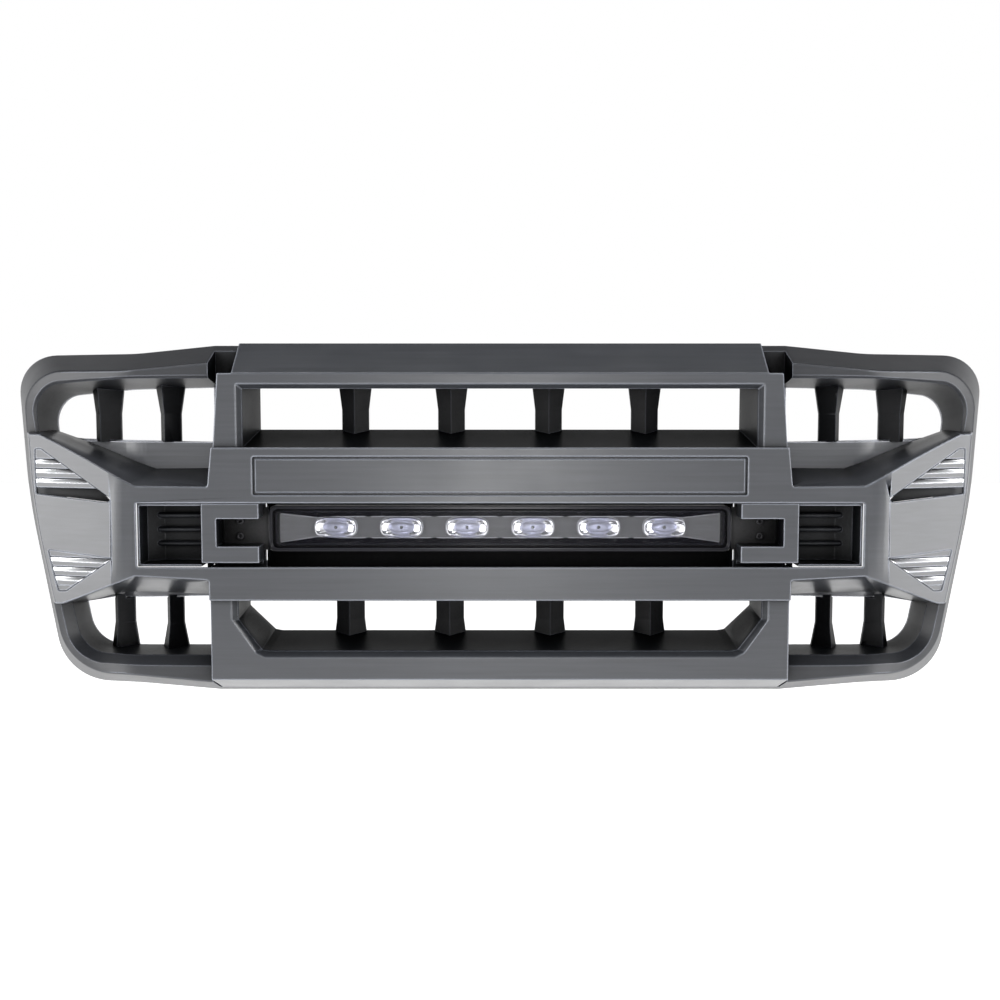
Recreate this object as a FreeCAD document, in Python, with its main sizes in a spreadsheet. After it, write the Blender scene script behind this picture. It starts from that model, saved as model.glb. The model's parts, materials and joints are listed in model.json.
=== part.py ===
import FreeCAD, Part
import Sketcher
import math
import os
import re

# A full-size pickup front grille, built from moulded shells, a crossbar overlay,
# upright vanes and an LED light bar.
# Frame while modelling: X to the right, Y back into the vehicle from the front face, Z up.
# Every finished piece is then moved forward by seat_level, so the origin is the centre
# of the four rear bolts, on the plane where the brackets sit against the vehicle.

doc = FreeCAD.newDocument("front_grille")
sheet = doc.addObject("Spreadsheet::Sheet", "Sizes")

SIZES = {
    # plan shape of the front face: flat centre, wings swept back
    "knee_x": 416.0, "bend_radius": 90.0, "reach_x": 620.0, "sweep_y": 58.0,
    "seat_behind": 10.0, "shell_wall": 3.0, "thin_wall": 2.5, "gap": 0.3,
    # rim, measured on the front plane and on the rear plane of its draft
    "rim_rear_y": 130.0, "rim_front_off": 22.0, "rim_back_off": 80.0,
    "rim_inner_x": 325.0, "centre_clear": 2.0, "duct_pass_top": 147.0, "duct_pass_base": 150.0,
    "outer_top_front": 161.0, "outer_top_rear": 208.0,
    "outer_ear_front": 145.0, "outer_ear_rear": 181.0,
    "outer_side_front": 513.0, "outer_side_rear": 570.0,
    "outer_mid_front": 508.0, "outer_mid_rear": 560.0, "outer_mid_z": 12.0,
    "outer_low_front": 474.0, "outer_low_rear": 522.0,
    "outer_heel_front": 164.5, "outer_heel_rear": 209.0,
    "outer_base_front": 178.5, "outer_base_rear": 226.0,
    "outer_top_round": 48.0, "outer_low_round": 66.0, "side_round": 700.0,
    "inner_top_front": 157.0, "inner_top_rear": 133.6,
    "inner_ear_front": 158.0, "inner_ear_rear": 126.0,
    "inner_side_front": 532.0, "inner_side_rear": 517.0,
    "inner_mid_front": 511.0, "inner_mid_rear": 507.0,
    "inner_low_front": 474.0, "inner_low_rear": 474.0,
    "inner_base_front": 158.5, "inner_base_rear": 153.5,
    "inner_top_round": 30.0, "inner_low_round": 36.0,
    # crossbar overlay
    "arm_rear_y": 100.0, "overlay_back_off": 69.5,
    "bar_half_top": 315.5, "bar_half": 320.0,
    "bar_top": 77.3, "window_top": 16.2, "window_base": 54.0, "low_bar_base": 91.3,
    "window_half": 398.0, "overlay_skirt": 5.8,
    "arm_in_top": 34.0, "arm_knee_x": 398.4, "arm_knee_top": 35.1,
    "arm_tip_x": 507.0, "arm_tip_top": 89.3,
    "arm_in_base": 69.5, "arm_knee_low_x": 399.5, "arm_knee_base": 64.0,
    "arm_tip_low_x": 487.0, "arm_tip_base": 95.0,
    "arm_rise": 25.0, "arm_knee_rise": 22.4, "arm_knee_shift": 9.0,
    "arm_tip_rise": 6.0, "arm_tip_shift": 13.6,
    "arm_fall": 37.5, "arm_knee_fall": 39.0, "arm_low_shift": 50.0, "arm_tip_fall": 12.6,
    # centre frame
    "frame_step": 3.0, "frame_lip": 8.0, "frame_back": 61.5,
    "frame_half_top": 308.6, "frame_half": 319.5, "frame_top": 158.0, "frame_base": 215.0,
    "block_half": 293.0, "block_top": 191.8, "block_back_y": 60.0, "block_crown_y": 54.0,
    "win_half": 288.0, "win_top": 146.1, "win_base": 70.0, "win_bevel": 5.5,
    "duct_back_y": 80.0, "duct_front_half": 282.5, "duct_front_top": 141.6, "duct_front_base": 76.9,
    "duct_back_half": 274.0, "duct_back_top": 141.3, "duct_back_base": 94.5,
    "low_half": 296.0, "low_top": 84.0, "low_knee_z": 113.5, "low_foot_x": 270.4,
    "low_foot_z": 150.0, "low_base_x": 260.0, "low_base_z": 155.0, "low_bevel": 6.0,
    "low_duct_top": 93.0, "low_duct_drop": 11.0, "low_duct_in": 4.5, "low_duct_rise": 11.0,
    "low_knee_rise": 5.0,
    # louvre pockets in the wings
    "pocket_out_x": 516.0, "pocket_tip_x": 426.0,
    "pocket_up_top": 74.5, "pocket_up_tip": 21.0, "pocket_up_base": 24.8, "pocket_up_edge_x": 509.0,
    "pocket_low_top": 38.0, "pocket_low_tip": 45.0, "pocket_low_base": 83.0,
    "pocket_low_side_x": 503.0, "pocket_low_in_x": 483.0, "pocket_low_out_x": 492.0, "pocket_depth": 13.0,
    "fin_pitch": 10.6, "fin_height": 5.4, "fin_set": 1.5, "tray_out_wall": 0.7,
    # corner grids behind the rim
    "grid_plate": 3.5, "grid_margin": 9.0, "panel_off": 70.0, "panel_top": 80.5,
    "panel_out_x": 484.0, "panel_knee_x": 386.0, "panel_out_base": 70.0, "panel_base": 44.0,
    "low_air_top": 98.0, "low_air_knee_x": 446.0, "low_air_out_x": 487.0, "low_air_out_top": 108.0,
    "grid_split_top": 60.0, "grid_split_base": 85.0,
    # upright vanes
    "vane_back_y": 79.5, "vane_depth": 17.0, "vane_edge": 5.0,
    "vane_near_x": 55.4, "vane_far_x": 165.0, "vane_low_near_x": 57.7, "vane_low_far_x": 172.5,
    "vane_up_wide": 38.0, "vane_up_slim": 30.5, "vane_up_crease": 117.0,
    "vane_low_mid": 32.0, "vane_low_foot": 40.0, "vane_low_crease": 123.0,
    "up_outer_x": 450.0, "up_outer_wide": 38.0, "up_outer_slim": 29.0,
    "up_inner_x": 376.0, "up_inner_wide": 35.0, "up_inner_slim": 23.0,
    "low_outer_x": 435.0, "low_outer_wide": 34.0, "low_outer_slim": 23.0,
    "low_inner_x": 375.0, "low_inner_wide": 33.0, "low_inner_slim": 19.0,
    "corner_vane_top": 150.0, "corner_vane_crease": 112.0, "corner_vane_base": 166.0,
    "corner_vane_low_crease": 128.0, "corner_vane_head": 95.0,
    # end brackets around the ears of the light bar
    "end_out_x": 327.0, "end_in_x": 264.0, "end_top": 16.0, "end_base": 49.3, "end_depth": 30.5,
    "slot_x": 310.5, "slot_top": 0.9, "slot_base": 31.3,
    # vent inserts
    "vent_in_x": 327.6, "vent_step_y": 36.0, "vent_floor_y": 45.0, "vent_ramp_x": 377.7,
    "rib_out_x": 382.0, "rib_size": 6.0, "rib_pitch": 16.0, "rib_mid_z": 16.4,
    # nameplate
    "name_half": 270.0, "name_top": 67.0, "name_base": 25.4, "name_plate": 2.4, "name_margin": 4.0,
    "name_set": 1.6, "name_groove": 2.6,
    # light bar
    "light_front_y": 28.0, "light_half": 258.0, "light_round": 8.0, "light_mid_z": 14.4,
    "bezel_wide": 7.0, "bezel_depth": 14.0,
    "light_half_tall": 25.8, "lens_thick": 3.0, "lens_set": 4.0, "gasket_thick": 1.2, "seat_step": 3.0,
    "housing_y": 42.2, "housing_wall": 3.0,
    "sink_depth": 14.0, "sink_thick": 2.6, "sink_pitch": 8.0, "sink_gap": 34.0,
    "funnel_wide": 246.5, "funnel_tall": 18.0, "funnel_floor_wide": 206.0, "funnel_floor_tall": 12.4,
    "reflector_y": 37.0, "reflector_depth": 11.0, "funnel_depth": 8.0,
    "lamp_pitch": 74.0, "lamp_half_wide": 23.5, "lamp_half_tall": 11.7, "lamp_round": 8.5,
    "lamp_front_y": 40.0, "lamp_length": 9.0, "lamp_bevel": 3.0, "board_in": 20.0, "board_half_tall": 14.0,
    "board_thick": 1.6, "chip_half": 4.0, "chip_thick": 1.0,
    "plug_x": 14.0, "plug_half": 11.0, "plug_half_tall": 7.0, "plug_depth": 14.0, "plug_wall": 1.6,
    "plug_floor": 2.0, "contact_radius": 0.8, "contact_reach": 9.0, "contact_shift": 4.0,
    "breather_x": 20.0, "breather_radius": 6.0, "breather_thick": 3.0,
    "ear_out_x": 308.0, "ear_half": 17.0, "ear_knee_x": 276.0, "ear_foot_x": 264.0, "ear_foot_half": 24.0,
    "ear_thick": 3.0, "ear_y": 31.0, "ear_screw_x": 290.0, "ear_screw_radius": 2.5,
    "ear_screw_half_z": 8.5, "tray_front_y": 51.5, "tray_hole_in": 10.0, "tray_hole_top": 4.0,
    "tray_hole_base": 33.0, "tray_drop": 11.0, "tray_side": 5.7, "skirt_drop": 6.5,
    # overlay pins and their push nuts
    "clip_pin_radius": 2.5, "clip_radius": 6.0, "clip_thick": 0.8,
    "clip_far_x": 296.0, "clip_near_x": 150.0, "clip_top_z": 46.0, "clip_low_z": 72.0,
    # rear mounting
    "bolt_half_x": 300.0, "bolt_half_z": 172.0, "bolt_hole": 6.6, "tab_tall": 22.0,
    "tab_thick": 3.0, "boss_x": 262.0, "boss_radius": 5.5, "screw_radius": 2.0,
    "screw_head_radius": 4.2, "screw_head": 2.4,
    "pin_x": 200.0, "pin_radius": 4.0, "pin_reach": 8.0,
}

# Depths that follow from other sizes: the face of the centre frame, and the brackets' seat.
frame_front = "(shell_wall + frame_step)"
seat_level = "(rim_back_off + seat_behind)"

for row, (alias, size) in enumerate(SIZES.items(), start=1):
    sheet.set(f"A{row}", alias)
    sheet.set(f"B{row}", str(size))
    sheet.setAlias(f"B{row}", alias)
doc.recompute()


def link(formula):
    """Name the sheet in front of every alias of a formula."""
    return re.sub(r"[a-z_]+[a-z_0-9]*",
                  lambda word: "Sizes." + word.group() if word.group() in SIZES else word.group(), formula)


def size(formula):
    """The present value of a formula, in millimetres."""
    return float(sheet.evalExpression(link(formula)))


PLANES = {
    "front": (FreeCAD.Rotation(FreeCAD.Vector(1, 0, 0), 90), "y"),
    "plan": (FreeCAD.Rotation(), "z"),
    "side": (FreeCAD.Rotation(FreeCAD.Vector(1, 1, 1), 120), "x"),
}


def outline(name, corners, plane="front", level="0"):
    """A closed sketch of straight edges; a corner with a third value is rounded by that radius.
    The corners run anticlockwise or clockwise, seen square to the plane."""
    turn, axis = PLANES[plane]
    sketch = doc.addObject("Sketcher::SketchObject", name)
    sketch.Placement = FreeCAD.Placement(FreeCAD.Vector(0, 0, 0), turn)
    sketch.setExpression(f"Placement.Base.{axis}", link(level))
    points = [FreeCAD.Vector(size(c[0]), size(c[1]), 0) for c in corners]
    radii = [size(c[2]) if len(c) > 2 else 0.0 for c in corners]
    count = len(points)
    enter, leave, arcs = [], [], []
    for i, here in enumerate(points):
        back = (points[i - 1] - here).normalize()
        ahead = (points[(i + 1) % count] - here).normalize()
        if radii[i] == 0.0:
            enter.append(here)
            leave.append(here)
            arcs.append(None)
            continue
        half = back.getAngle(ahead) / 2
        reach = radii[i] / math.tan(half)
        centre = here + (back + ahead).normalize() * (radii[i] / math.sin(half))
        enter.append(here + back * reach)
        leave.append(here + ahead * reach)
        arcs.append((centre, back.cross(ahead).z < 0))
    for i in range(count):
        sketch.addGeometry(Part.LineSegment(leave[i], enter[(i + 1) % count]), False)
    dims = []
    for i in range(count):
        before = (i - 1) % count
        if arcs[i] is None:
            sketch.addConstraint(Sketcher.Constraint("Coincident", before, 2, i, 1))
            mark, pole = i, 1
        else:
            centre, left = arcs[i]
            first, last = (enter[i], leave[i]) if left else (leave[i], enter[i])
            start = math.atan2(first.y - centre.y, first.x - centre.x)
            end = math.atan2(last.y - centre.y, last.x - centre.x)
            circle = Part.Circle(centre, FreeCAD.Vector(0, 0, 1), radii[i])
            arc = sketch.addGeometry(Part.ArcOfCircle(circle, start, end), False)
            near, far = (1, 2) if left else (2, 1)
            sketch.addConstraint(Sketcher.Constraint("Tangent", before, 2, arc, near))
            sketch.addConstraint(Sketcher.Constraint("Tangent", arc, far, i, 1))
            round_size = sketch.addConstraint(Sketcher.Constraint("Radius", arc, radii[i]))
            dims.append((round_size, corners[i][2]))
            mark = sketch.addGeometry(Part.Point(points[i]), True)
            pole = 1
            sketch.addConstraint(Sketcher.Constraint("PointOnObject", mark, 1, before))
            sketch.addConstraint(Sketcher.Constraint("PointOnObject", mark, 1, i))
        across = sketch.addConstraint(Sketcher.Constraint("DistanceX", -1, 1, mark, pole, points[i].x))
        up = sketch.addConstraint(Sketcher.Constraint("DistanceY", -1, 1, mark, pole, points[i].y))
        dims.append((across, corners[i][0]))
        dims.append((up, corners[i][1]))
    for index, formula in dims:
        sketch.setExpression(f"Constraints[{index}]", link(formula))
    return sketch


def both_sides(corners):
    """Corners of the left half, from top to bottom, then the same on the right, back up."""
    right = []
    for corner in reversed(corners):
        right.append((f"-({corner[0]})",) + tuple(corner[1:]))
    return corners + right


def inset(name, sketch, distance):
    """The sketch's outline, moved inwards by the distance."""
    ring = doc.addObject("Part::Offset2D", name)
    ring.Source = sketch
    ring.setExpression("Value", link(f"-({distance})"))
    ring.Join = 2
    return ring


WAYS = {"y": (0, 1, 0), "z": (0, 0, 1), "x": (1, 0, 0)}


def prism(name, profile, way, length):
    """A solid of the profile, straight along one axis."""
    body = doc.addObject("Part::Extrusion", name)
    body.Base = profile
    body.DirMode = "Custom"
    body.Dir = FreeCAD.Vector(*WAYS[way])
    body.Solid = True
    body.setExpression("LengthFwd", link(length))
    return body


def loft(name, profiles):
    """A solid with straight sides between the profiles, in order."""
    body = doc.addObject("Part::Loft", name)
    body.Sections = profiles
    body.Solid = True
    body.Ruled = True
    return body


def box(name, x0, x1, y0, y1, z0, z1):
    """A box between two corners, each given as a formula."""
    body = doc.addObject("Part::Box", name)
    body.setExpression("Length", link(f"({x1}) - ({x0})"))
    body.setExpression("Width", link(f"({y1}) - ({y0})"))
    body.setExpression("Height", link(f"({z1}) - ({z0})"))
    body.setExpression("Placement.Base.x", link(x0))
    body.setExpression("Placement.Base.y", link(y0))
    body.setExpression("Placement.Base.z", link(z0))
    return body


def rod(name, x, y, z, radius, length):
    """A round bar along Y, starting at the point."""
    body = doc.addObject("Part::Cylinder", name)
    body.setExpression("Radius", link(radius))
    body.setExpression("Height", link(length))
    body.Placement = FreeCAD.Placement(FreeCAD.Vector(0, 0, 0),
                                       FreeCAD.Rotation(FreeCAD.Vector(1, 0, 0), -90))
    body.setExpression("Placement.Base.x", link(x))
    body.setExpression("Placement.Base.y", link(y))
    body.setExpression("Placement.Base.z", link(z))
    return body


def cut(name, base, *tools):
    for number, tool in enumerate(tools):
        step = doc.addObject("Part::Cut", f"{name}_{number}")
        step.Base = base
        step.Tool = tool
        base = step
    return base


def fuse(name, *bodies):
    joined = doc.addObject("Part::MultiFuse", name)
    joined.Shapes = list(bodies)
    return joined


def common(name, *bodies):
    shared = doc.addObject("Part::MultiCommon", name)
    shared.Shapes = list(bodies)
    return shared


def mirror(name, body):
    other = doc.addObject("Part::Mirroring", name)
    other.Source = body
    other.Base = FreeCAD.Vector(0, 0, 0)
    other.Normal = FreeCAD.Vector(1, 0, 0)
    return other


NODES = []


def node(label, body):
    """Finish a piece: name it and move it so that the origin is at the rear bolts."""
    body.Label = label
    held = [formula for path, formula in body.ExpressionEngine if path.endswith("Placement.Base.y")]
    start = held[0] if held else "0"
    if body.TypeId != "Part::Mirroring":
        body.setExpression("Placement.Base.y", f"{start} - {link(seat_level)}")
    NODES.append(body)
    return body


BEHIND = {}


def behind(off):
    """Everything behind the curved front face moved back by off."""
    if off not in BEHIND:
        number = len(BEHIND)
        corners = [("-reach_x", f"sweep_y + {off}"), ("-knee_x", f"0.001 + {off}", "bend_radius"),
                   ("knee_x", f"0.001 + {off}", "bend_radius"), ("reach_x", f"sweep_y + {off}"),
                   ("reach_x", "400"), ("-reach_x", "400")]
        plan = outline(f"face_plan_{number}", corners, "plan", "-300")
        BEHIND[off] = prism(f"behind_{number}", plan, "z", "600")
    return BEHIND[off]


# Rim: a hollow drafted ring, open at the back and cut away where the centre frame passes.


def ring_outline(name, part, end, level):
    """The outer or inner outline of the rim on its front or rear plane."""
    heel = f"outer_heel_{end}" if part == "outer" else f"inner_base_{end}"
    corners = [
        ("-rim_inner_x", f"{part}_top_{end}"),
        (f"-{part}_side_{end}", f"{part}_ear_{end}", f"{part}_top_round"),
        (f"-{part}_mid_{end}", "outer_mid_z", "side_round"),
        (f"-{part}_low_{end}", f"-{heel}", f"{part}_low_round"),
        ("-rim_inner_x", f"-{part}_base_{end}")]
    return outline(name, both_sides(corners), "front", level)


outer_front = ring_outline("outer_front", "outer", "front", "0")
outer_rear = ring_outline("outer_rear", "outer", "rear", "rim_rear_y")
inner_front = ring_outline("inner_front", "inner", "front", "0")
inner_rear = ring_outline("inner_rear", "inner", "rear", "rim_rear_y")


def drafted(name, front, rear, distance=None):
    """The loft between two outlines, each moved inwards by the distance first."""
    if distance is None:
        return loft(name, [front, rear])
    return loft(name, [inset(name + "_front", front, distance), inset(name + "_rear", rear, distance)])


outer_mass = drafted("outer_mass", outer_front, outer_rear)
outer_inside = drafted("outer_inside", outer_front, outer_rear, "shell_wall")
inner_mass = drafted("inner_mass", inner_front, inner_rear)
inner_outside = drafted("inner_outside", inner_front, inner_rear, "-shell_wall")
inner_clear = drafted("inner_clear", inner_front, inner_rear, "gap")


def centre_zone(name, grow, depth, top, base):
    """The space that the centre frame takes out of the rim."""
    return box(name, f"-frame_half - ({grow})", f"frame_half + {grow}", "-40", depth, base, top)


rim_solid = cut("rim_solid", common("rim_block", outer_mass, behind("rim_front_off")), inner_mass,
                behind("rim_back_off"),
                centre_zone("rim_gap", "centre_clear", "frame_back + gap", "300", "-300"),
                centre_zone("rim_duct_gap", "centre_clear", "300", "duct_pass_top", "-duct_pass_base"))
rim_hollow = cut("rim_hollow", common("rim_core", outer_inside, behind("rim_front_off + shell_wall")),
                 inner_outside,
                 centre_zone("rim_web", "centre_clear + shell_wall", "frame_back + gap + shell_wall",
                             "300", "-300"),
                 centre_zone("rim_duct_web", "centre_clear", "300", "duct_pass_top + shell_wall",
                             "-duct_pass_base - shell_wall"))
rim_shell = cut("rim_shell", rim_solid, rim_hollow)
BOSS_PLACES = [("-boss_x", "bolt_half_z"), ("boss_x", "bolt_half_z"), ("-boss_x", "-bolt_half_z"),
               ("boss_x", "-bolt_half_z")]
boss_posts, boss_holes = [], []
for number, (x, z) in enumerate(BOSS_PLACES):
    start = "frame_back + gap + 1"
    boss_posts.append(rod(f"boss_{number}", x, start, z, "boss_radius", f"rim_back_off - ({start})"))
    boss_holes.append(rod(f"boss_hole_{number}", x, "frame_back + gap + 5", z, "screw_radius", "40"))
outer_shell = cut("outer_shell", fuse("rim_with_bosses", rim_shell, *boss_posts), *boss_holes)

# Crossbar overlay: two bars across the centre that open into an X at each end.


def arm_outline(name, end):
    """The wing's outline on the front plane, or on the rear plane of its draft."""
    far = "0" if end == "front" else "1"
    corners = [
        ("-300", f"arm_in_top + {far} * arm_rise"),
        (f"-arm_knee_x + {far} * arm_knee_shift", f"arm_knee_top + {far} * arm_knee_rise"),
        (f"-arm_tip_x - {far} * arm_tip_shift", f"arm_tip_top + {far} * arm_tip_rise"),
        ("-600", f"arm_tip_top + {far} * arm_tip_rise"),
        ("-600", f"-arm_tip_base - {far} * arm_tip_fall"),
        ("-arm_tip_low_x", f"-arm_tip_base - {far} * arm_tip_fall"),
        (f"-arm_knee_low_x - {far} * arm_low_shift", f"-arm_knee_base - {far} * arm_knee_fall"),
        ("-300", f"-arm_in_base - {far} * arm_fall")]
    level = "0" if end == "front" else "arm_rear_y"
    return outline(name, corners, "front", level)


arm_front = arm_outline("arm_front", "front")
arm_rear = arm_outline("arm_rear", "rear")
arm_mass = drafted("arm_mass", arm_front, arm_rear)
arm_inside = drafted("arm_inside", arm_front, arm_rear, "shell_wall")
frame_zone = box("frame_zone", "-frame_half - centre_clear", "700", "overlay_skirt", "300", "-300", "300")
wing_face = cut("wing_face", common("wing_face_all", arm_mass, outer_mass, behind("0")),
                behind("rim_front_off - gap"), frame_zone)
wing_deep = cut("wing_deep", common("wing_deep_all", arm_mass, inner_clear, behind("rim_front_off - 2")),
                behind("overlay_back_off"), frame_zone)
wing_hollow = cut("wing_hollow", common("wing_hollow_all", arm_inside, outer_inside, behind("shell_wall")),
                  cut("wing_rim_part", behind("rim_front_off - gap - 0.01"), inner_clear))
bar_profile = [("-bar_half", "arm_in_top"), ("-bar_half_top", "bar_top"), ("bar_half_top", "bar_top"),
               ("bar_half", "arm_in_top"), ("bar_half", "window_top"), ("-bar_half", "window_top")]
upper_bar = prism("upper_bar", outline("upper_bar_line", bar_profile), "y", "overlay_skirt")
lower_bar = box("lower_bar", "-bar_half", "bar_half", "0", "overlay_skirt", "-low_bar_base", "-window_base")
bar_hollows = [
    box("upper_bar_hollow", "-bar_half + 8", "bar_half - 8", "shell_wall", "30",
        "window_top + shell_wall", "bar_top - shell_wall"),
    box("lower_bar_hollow", "-bar_half + 4", "bar_half - 4", "shell_wall", "30",
        "-low_bar_base + shell_wall", "-window_base - shell_wall")]
long_window = box("long_window", "-window_half", "window_half", "-20", "200", "-window_base", "window_top")
name_window = box("name_window", "-name_half", "name_half", "-20", "30", "name_base", "name_top")


def pocket_corners(row, spare):
    """The tapering louvre pocket of the upper or lower arm, drawn inwards by spare."""
    if row == "upper":
        return [("-pocket_out_x + {0}", "pocket_up_top - {0}"), ("-pocket_up_edge_x", "pocket_up_top - {0}"),
                ("-pocket_tip_x - 2 * {0}", "pocket_up_tip + {0} / 2"),
                ("-pocket_tip_x - 2 * {0} - 4", "pocket_up_tip - 4 + {0}"),
                ("-pocket_out_x + {0}", "pocket_up_base + {0}")]
    return [("-pocket_low_side_x + {0}", "-pocket_low_top - {0}"),
            ("-pocket_tip_x - 3 * {0}", "-pocket_low_tip - {0}"),
            ("-pocket_low_in_x - {0} / 2", "-pocket_low_base + {0}"),
            ("-pocket_low_out_x + {0}", "-pocket_low_base + {0}")]


def pocket(name, row, start, length, spare="0"):
    corners = [tuple(c.format(spare) for c in corner) for corner in pocket_corners(row, spare)]
    return prism(name, outline(name + "_line", corners, "front", start), "y", length)


PIN_PLACES = [("-clip_far_x", "clip_top_z"), ("clip_far_x", "clip_top_z")]
PIN_PLACES += [(x, "-clip_low_z") for x in ("-clip_far_x", "-clip_near_x", "0", "clip_near_x", "clip_far_x")]
overlay_pins = [rod(f"overlay_pin_{number}", x, "shell_wall - 1", z, "clip_pin_radius",
                    f"{frame_front} + 8 - shell_wall") for number, (x, z) in enumerate(PIN_PLACES)]
wing_cuts = [pocket("pocket_upper", "upper", "-20", "150"), pocket("pocket_lower", "lower", "-20", "150")]
wing_left = cut("wing_left", fuse("wing_both", wing_face, wing_deep), wing_hollow, *wing_cuts)
overlay_blank = fuse("overlay_blank", wing_left, mirror("wing_right", wing_left), upper_bar, lower_bar)
overlay_shell = cut("overlay_shell", overlay_blank, long_window, name_window, *bar_hollows)
overlay = fuse("overlay", overlay_shell, *overlay_pins)

# Centre frame: two windows with bevelled lips, a sloping top block and a hollow back.

frame_corners = [("-frame_half_top", "frame_top"), ("-frame_half", "0"), ("-frame_half", "-frame_base")]
frame_line = outline("frame_line", both_sides(frame_corners), "front", frame_front)
frame_mass = prism("frame_mass", frame_line, "y", f"rim_back_off - {frame_front}")
frame_inside = prism("frame_inside", inset("frame_inset", frame_line, "shell_wall"), "y", "200")


def block_profile(name, wall, half):
    """The sloping top block: a side profile drawn out along X."""
    inside = f"{frame_front} + {wall}"
    corners = [(inside, "frame_top - 15"), (inside, f"frame_top - {wall} / 2"),
               ("block_crown_y", f"block_top - {wall} * 1.2"),
               (f"block_back_y + 10 * {wall}", f"block_top - {wall} * 1.2"),
               (f"block_back_y + 10 * {wall}", "frame_top - 15")]
    return prism(name, outline(name + "_line", corners, "side", f"-({half})"), "x", f"2 * ({half})")


block = block_profile("block", "0", "block_half")
block_hollow = block_profile("block_hollow", "shell_wall", "block_half - shell_wall")


def window_outline(name, level, spread, which):
    """A window of the centre frame, grown by spread."""
    if which == "upper":
        corners = [(f"-win_half - ({spread})", f"win_top + {spread}"),
                   (f"-win_half - ({spread})", "win_base")]
    else:
        corners = [(f"-low_half - ({spread})", "-low_top"),
                   (f"-low_half - ({spread})", "-low_knee_z"),
                   (f"-low_foot_x - ({spread})", f"-low_foot_z - ({spread}) * 0.4"),
                   (f"-low_base_x - ({spread}) * 0.6", f"-low_base_z - ({spread})")]
    return outline(name, both_sides(corners), "front", level)


def window_cut(which, bevel):
    """A bevelled opening: wide at the frame's face, narrower behind its lip."""
    wide = window_outline(which + "_wide", f"{frame_front} - 1", "1", which)
    narrow = window_outline(which + "_narrow", f"{frame_front} + frame_lip", f"-{bevel}", which)
    through = window_outline(which + "_through", f"{frame_front} + frame_lip - 1", f"-{bevel}", which)
    keep = window_outline(which + "_keep", frame_front, "shell_wall", which)
    opening = fuse(which + "_opening", loft(which + "_bevel", [wide, narrow]),
                   prism(which + "_way", through, "y", "200"))
    return opening, prism(which + "_lip", keep, "y", "frame_lip")


upper_opening, upper_lip = window_cut("upper", "win_bevel")
lower_opening, lower_lip = window_cut("lower", "low_bevel")
light_space = box("light_space", "-400", "400", "-10", "end_depth + 1", "-window_base - 0.5",
                  "window_top + 0.5")
light_way = box("light_way", "-light_half - 4", "light_half + 4", "-10", "300", "-window_base + 3",
                "window_top - 1")
frame_block = cut("frame_block", fuse("frame_block_all", frame_mass, block),
                  cut("outside_rim", box("rear_zone", "-700", "700", "frame_back", "300", "-300", "300"),
                      inner_clear),
                  cut("below_rim", box("all_front", "-700", "700", "-50", "300", "-400", "-140"), outer_mass))
frame_hollow = cut("frame_hollow", fuse("frame_hollow_all", frame_inside, block_hollow),
                   box("front_plate", "-700", "700", "-50", f"{frame_front} + shell_wall", "-300", "300"),
                   cut("below_rim_wall", box("all_low", "-700", "700", "-50", "300", "-400", "-140"),
                       outer_inside),
                   upper_lip, lower_lip)
ear_seats = [box(f"ear_seat_{number}", x0, x1, "ear_y + ear_thick + gap", "ear_y + ear_thick + 4",
                 "-window_base - skirt_drop", "window_top + 2")
             for number, (x0, x1) in enumerate([("-frame_half + 1", "-light_half - 3"),
                                                ("light_half + 3", "frame_half - 1")])]
frame_shell = cut("frame_shell", frame_block, frame_hollow, light_space)
pin_holes = [rod(f"pin_hole_{number}", x, "-10", z, "clip_pin_radius + gap", "60")
             for number, (x, z) in enumerate(PIN_PLACES)]
EAR_SCREWS = [(f"{sign}ear_screw_x", f"-light_mid_z {way} ear_screw_half_z")
              for sign in ("-", "") for way in ("+", "-")]
ear_holes = [rod(f"ear_hole_{number}", x, "20", z, "ear_screw_radius + gap", "60")
             for number, (x, z) in enumerate(EAR_SCREWS)]
center_frame = cut("center_frame", fuse("frame_with_seats", frame_shell, *ear_seats), upper_opening,
                   lower_opening, light_way, *pin_holes, *ear_holes)

# Ducts behind the two windows.


def duct_outline(name, level, which, end):
    if which == "upper":
        corners = [(f"-duct_{end}_half", f"duct_{end}_top"), (f"-duct_{end}_half", f"duct_{end}_base")]
    else:
        drop, rise = ("0", "0") if end == "front" else ("low_duct_drop", "low_duct_rise")
        pull = "0" if end == "front" else "low_duct_in"
        knee = "0" if end == "front" else "low_knee_rise"
        side = f"low_half - low_bevel - {pull} / 4"
        corners = [(f"-({side})", f"-low_duct_top - {drop}"), (f"-({side})", f"-low_knee_z + {knee}"),
                   (f"-low_foot_x + low_bevel + {pull}", f"-low_foot_z + low_bevel * 0.4 + {rise}"),
                   (f"-low_base_x + low_bevel * 0.6 + {pull}", f"-low_base_z + low_bevel + {rise}")]
    return outline(name, both_sides(corners), "front", level)


def duct(which):
    """A drafted sleeve around the air passage, open at the front and the back."""
    front = duct_outline(which + "_duct_front", f"{frame_front} + frame_lip + gap", which, "front")
    rear = duct_outline(which + "_duct_rear", "duct_back_y", which, "back" if which == "upper" else "rear")
    air = drafted(which + "_duct_air", front, rear)
    return cut(which + "_duct", drafted(which + "_duct_out", front, rear, "-thin_wall"), air), air


upper_duct, upper_air = duct("upper")
lower_duct, lower_air = duct("lower")

# Corner grids: flat plates behind the rim that carry the upright vanes.

plate_front = "rim_back_off + gap"
plate_layer = cut("plate_layer", behind(plate_front), behind("rim_back_off + gap + grid_plate"))
grid_layer = cut("grid_layer", behind("panel_off"), behind("rim_back_off + gap + grid_plate"))
corner_space = drafted("corner_space", inner_front, inner_rear, "-grid_margin")
stile_side = "frame_half + 3"
surrounds = {}


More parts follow.
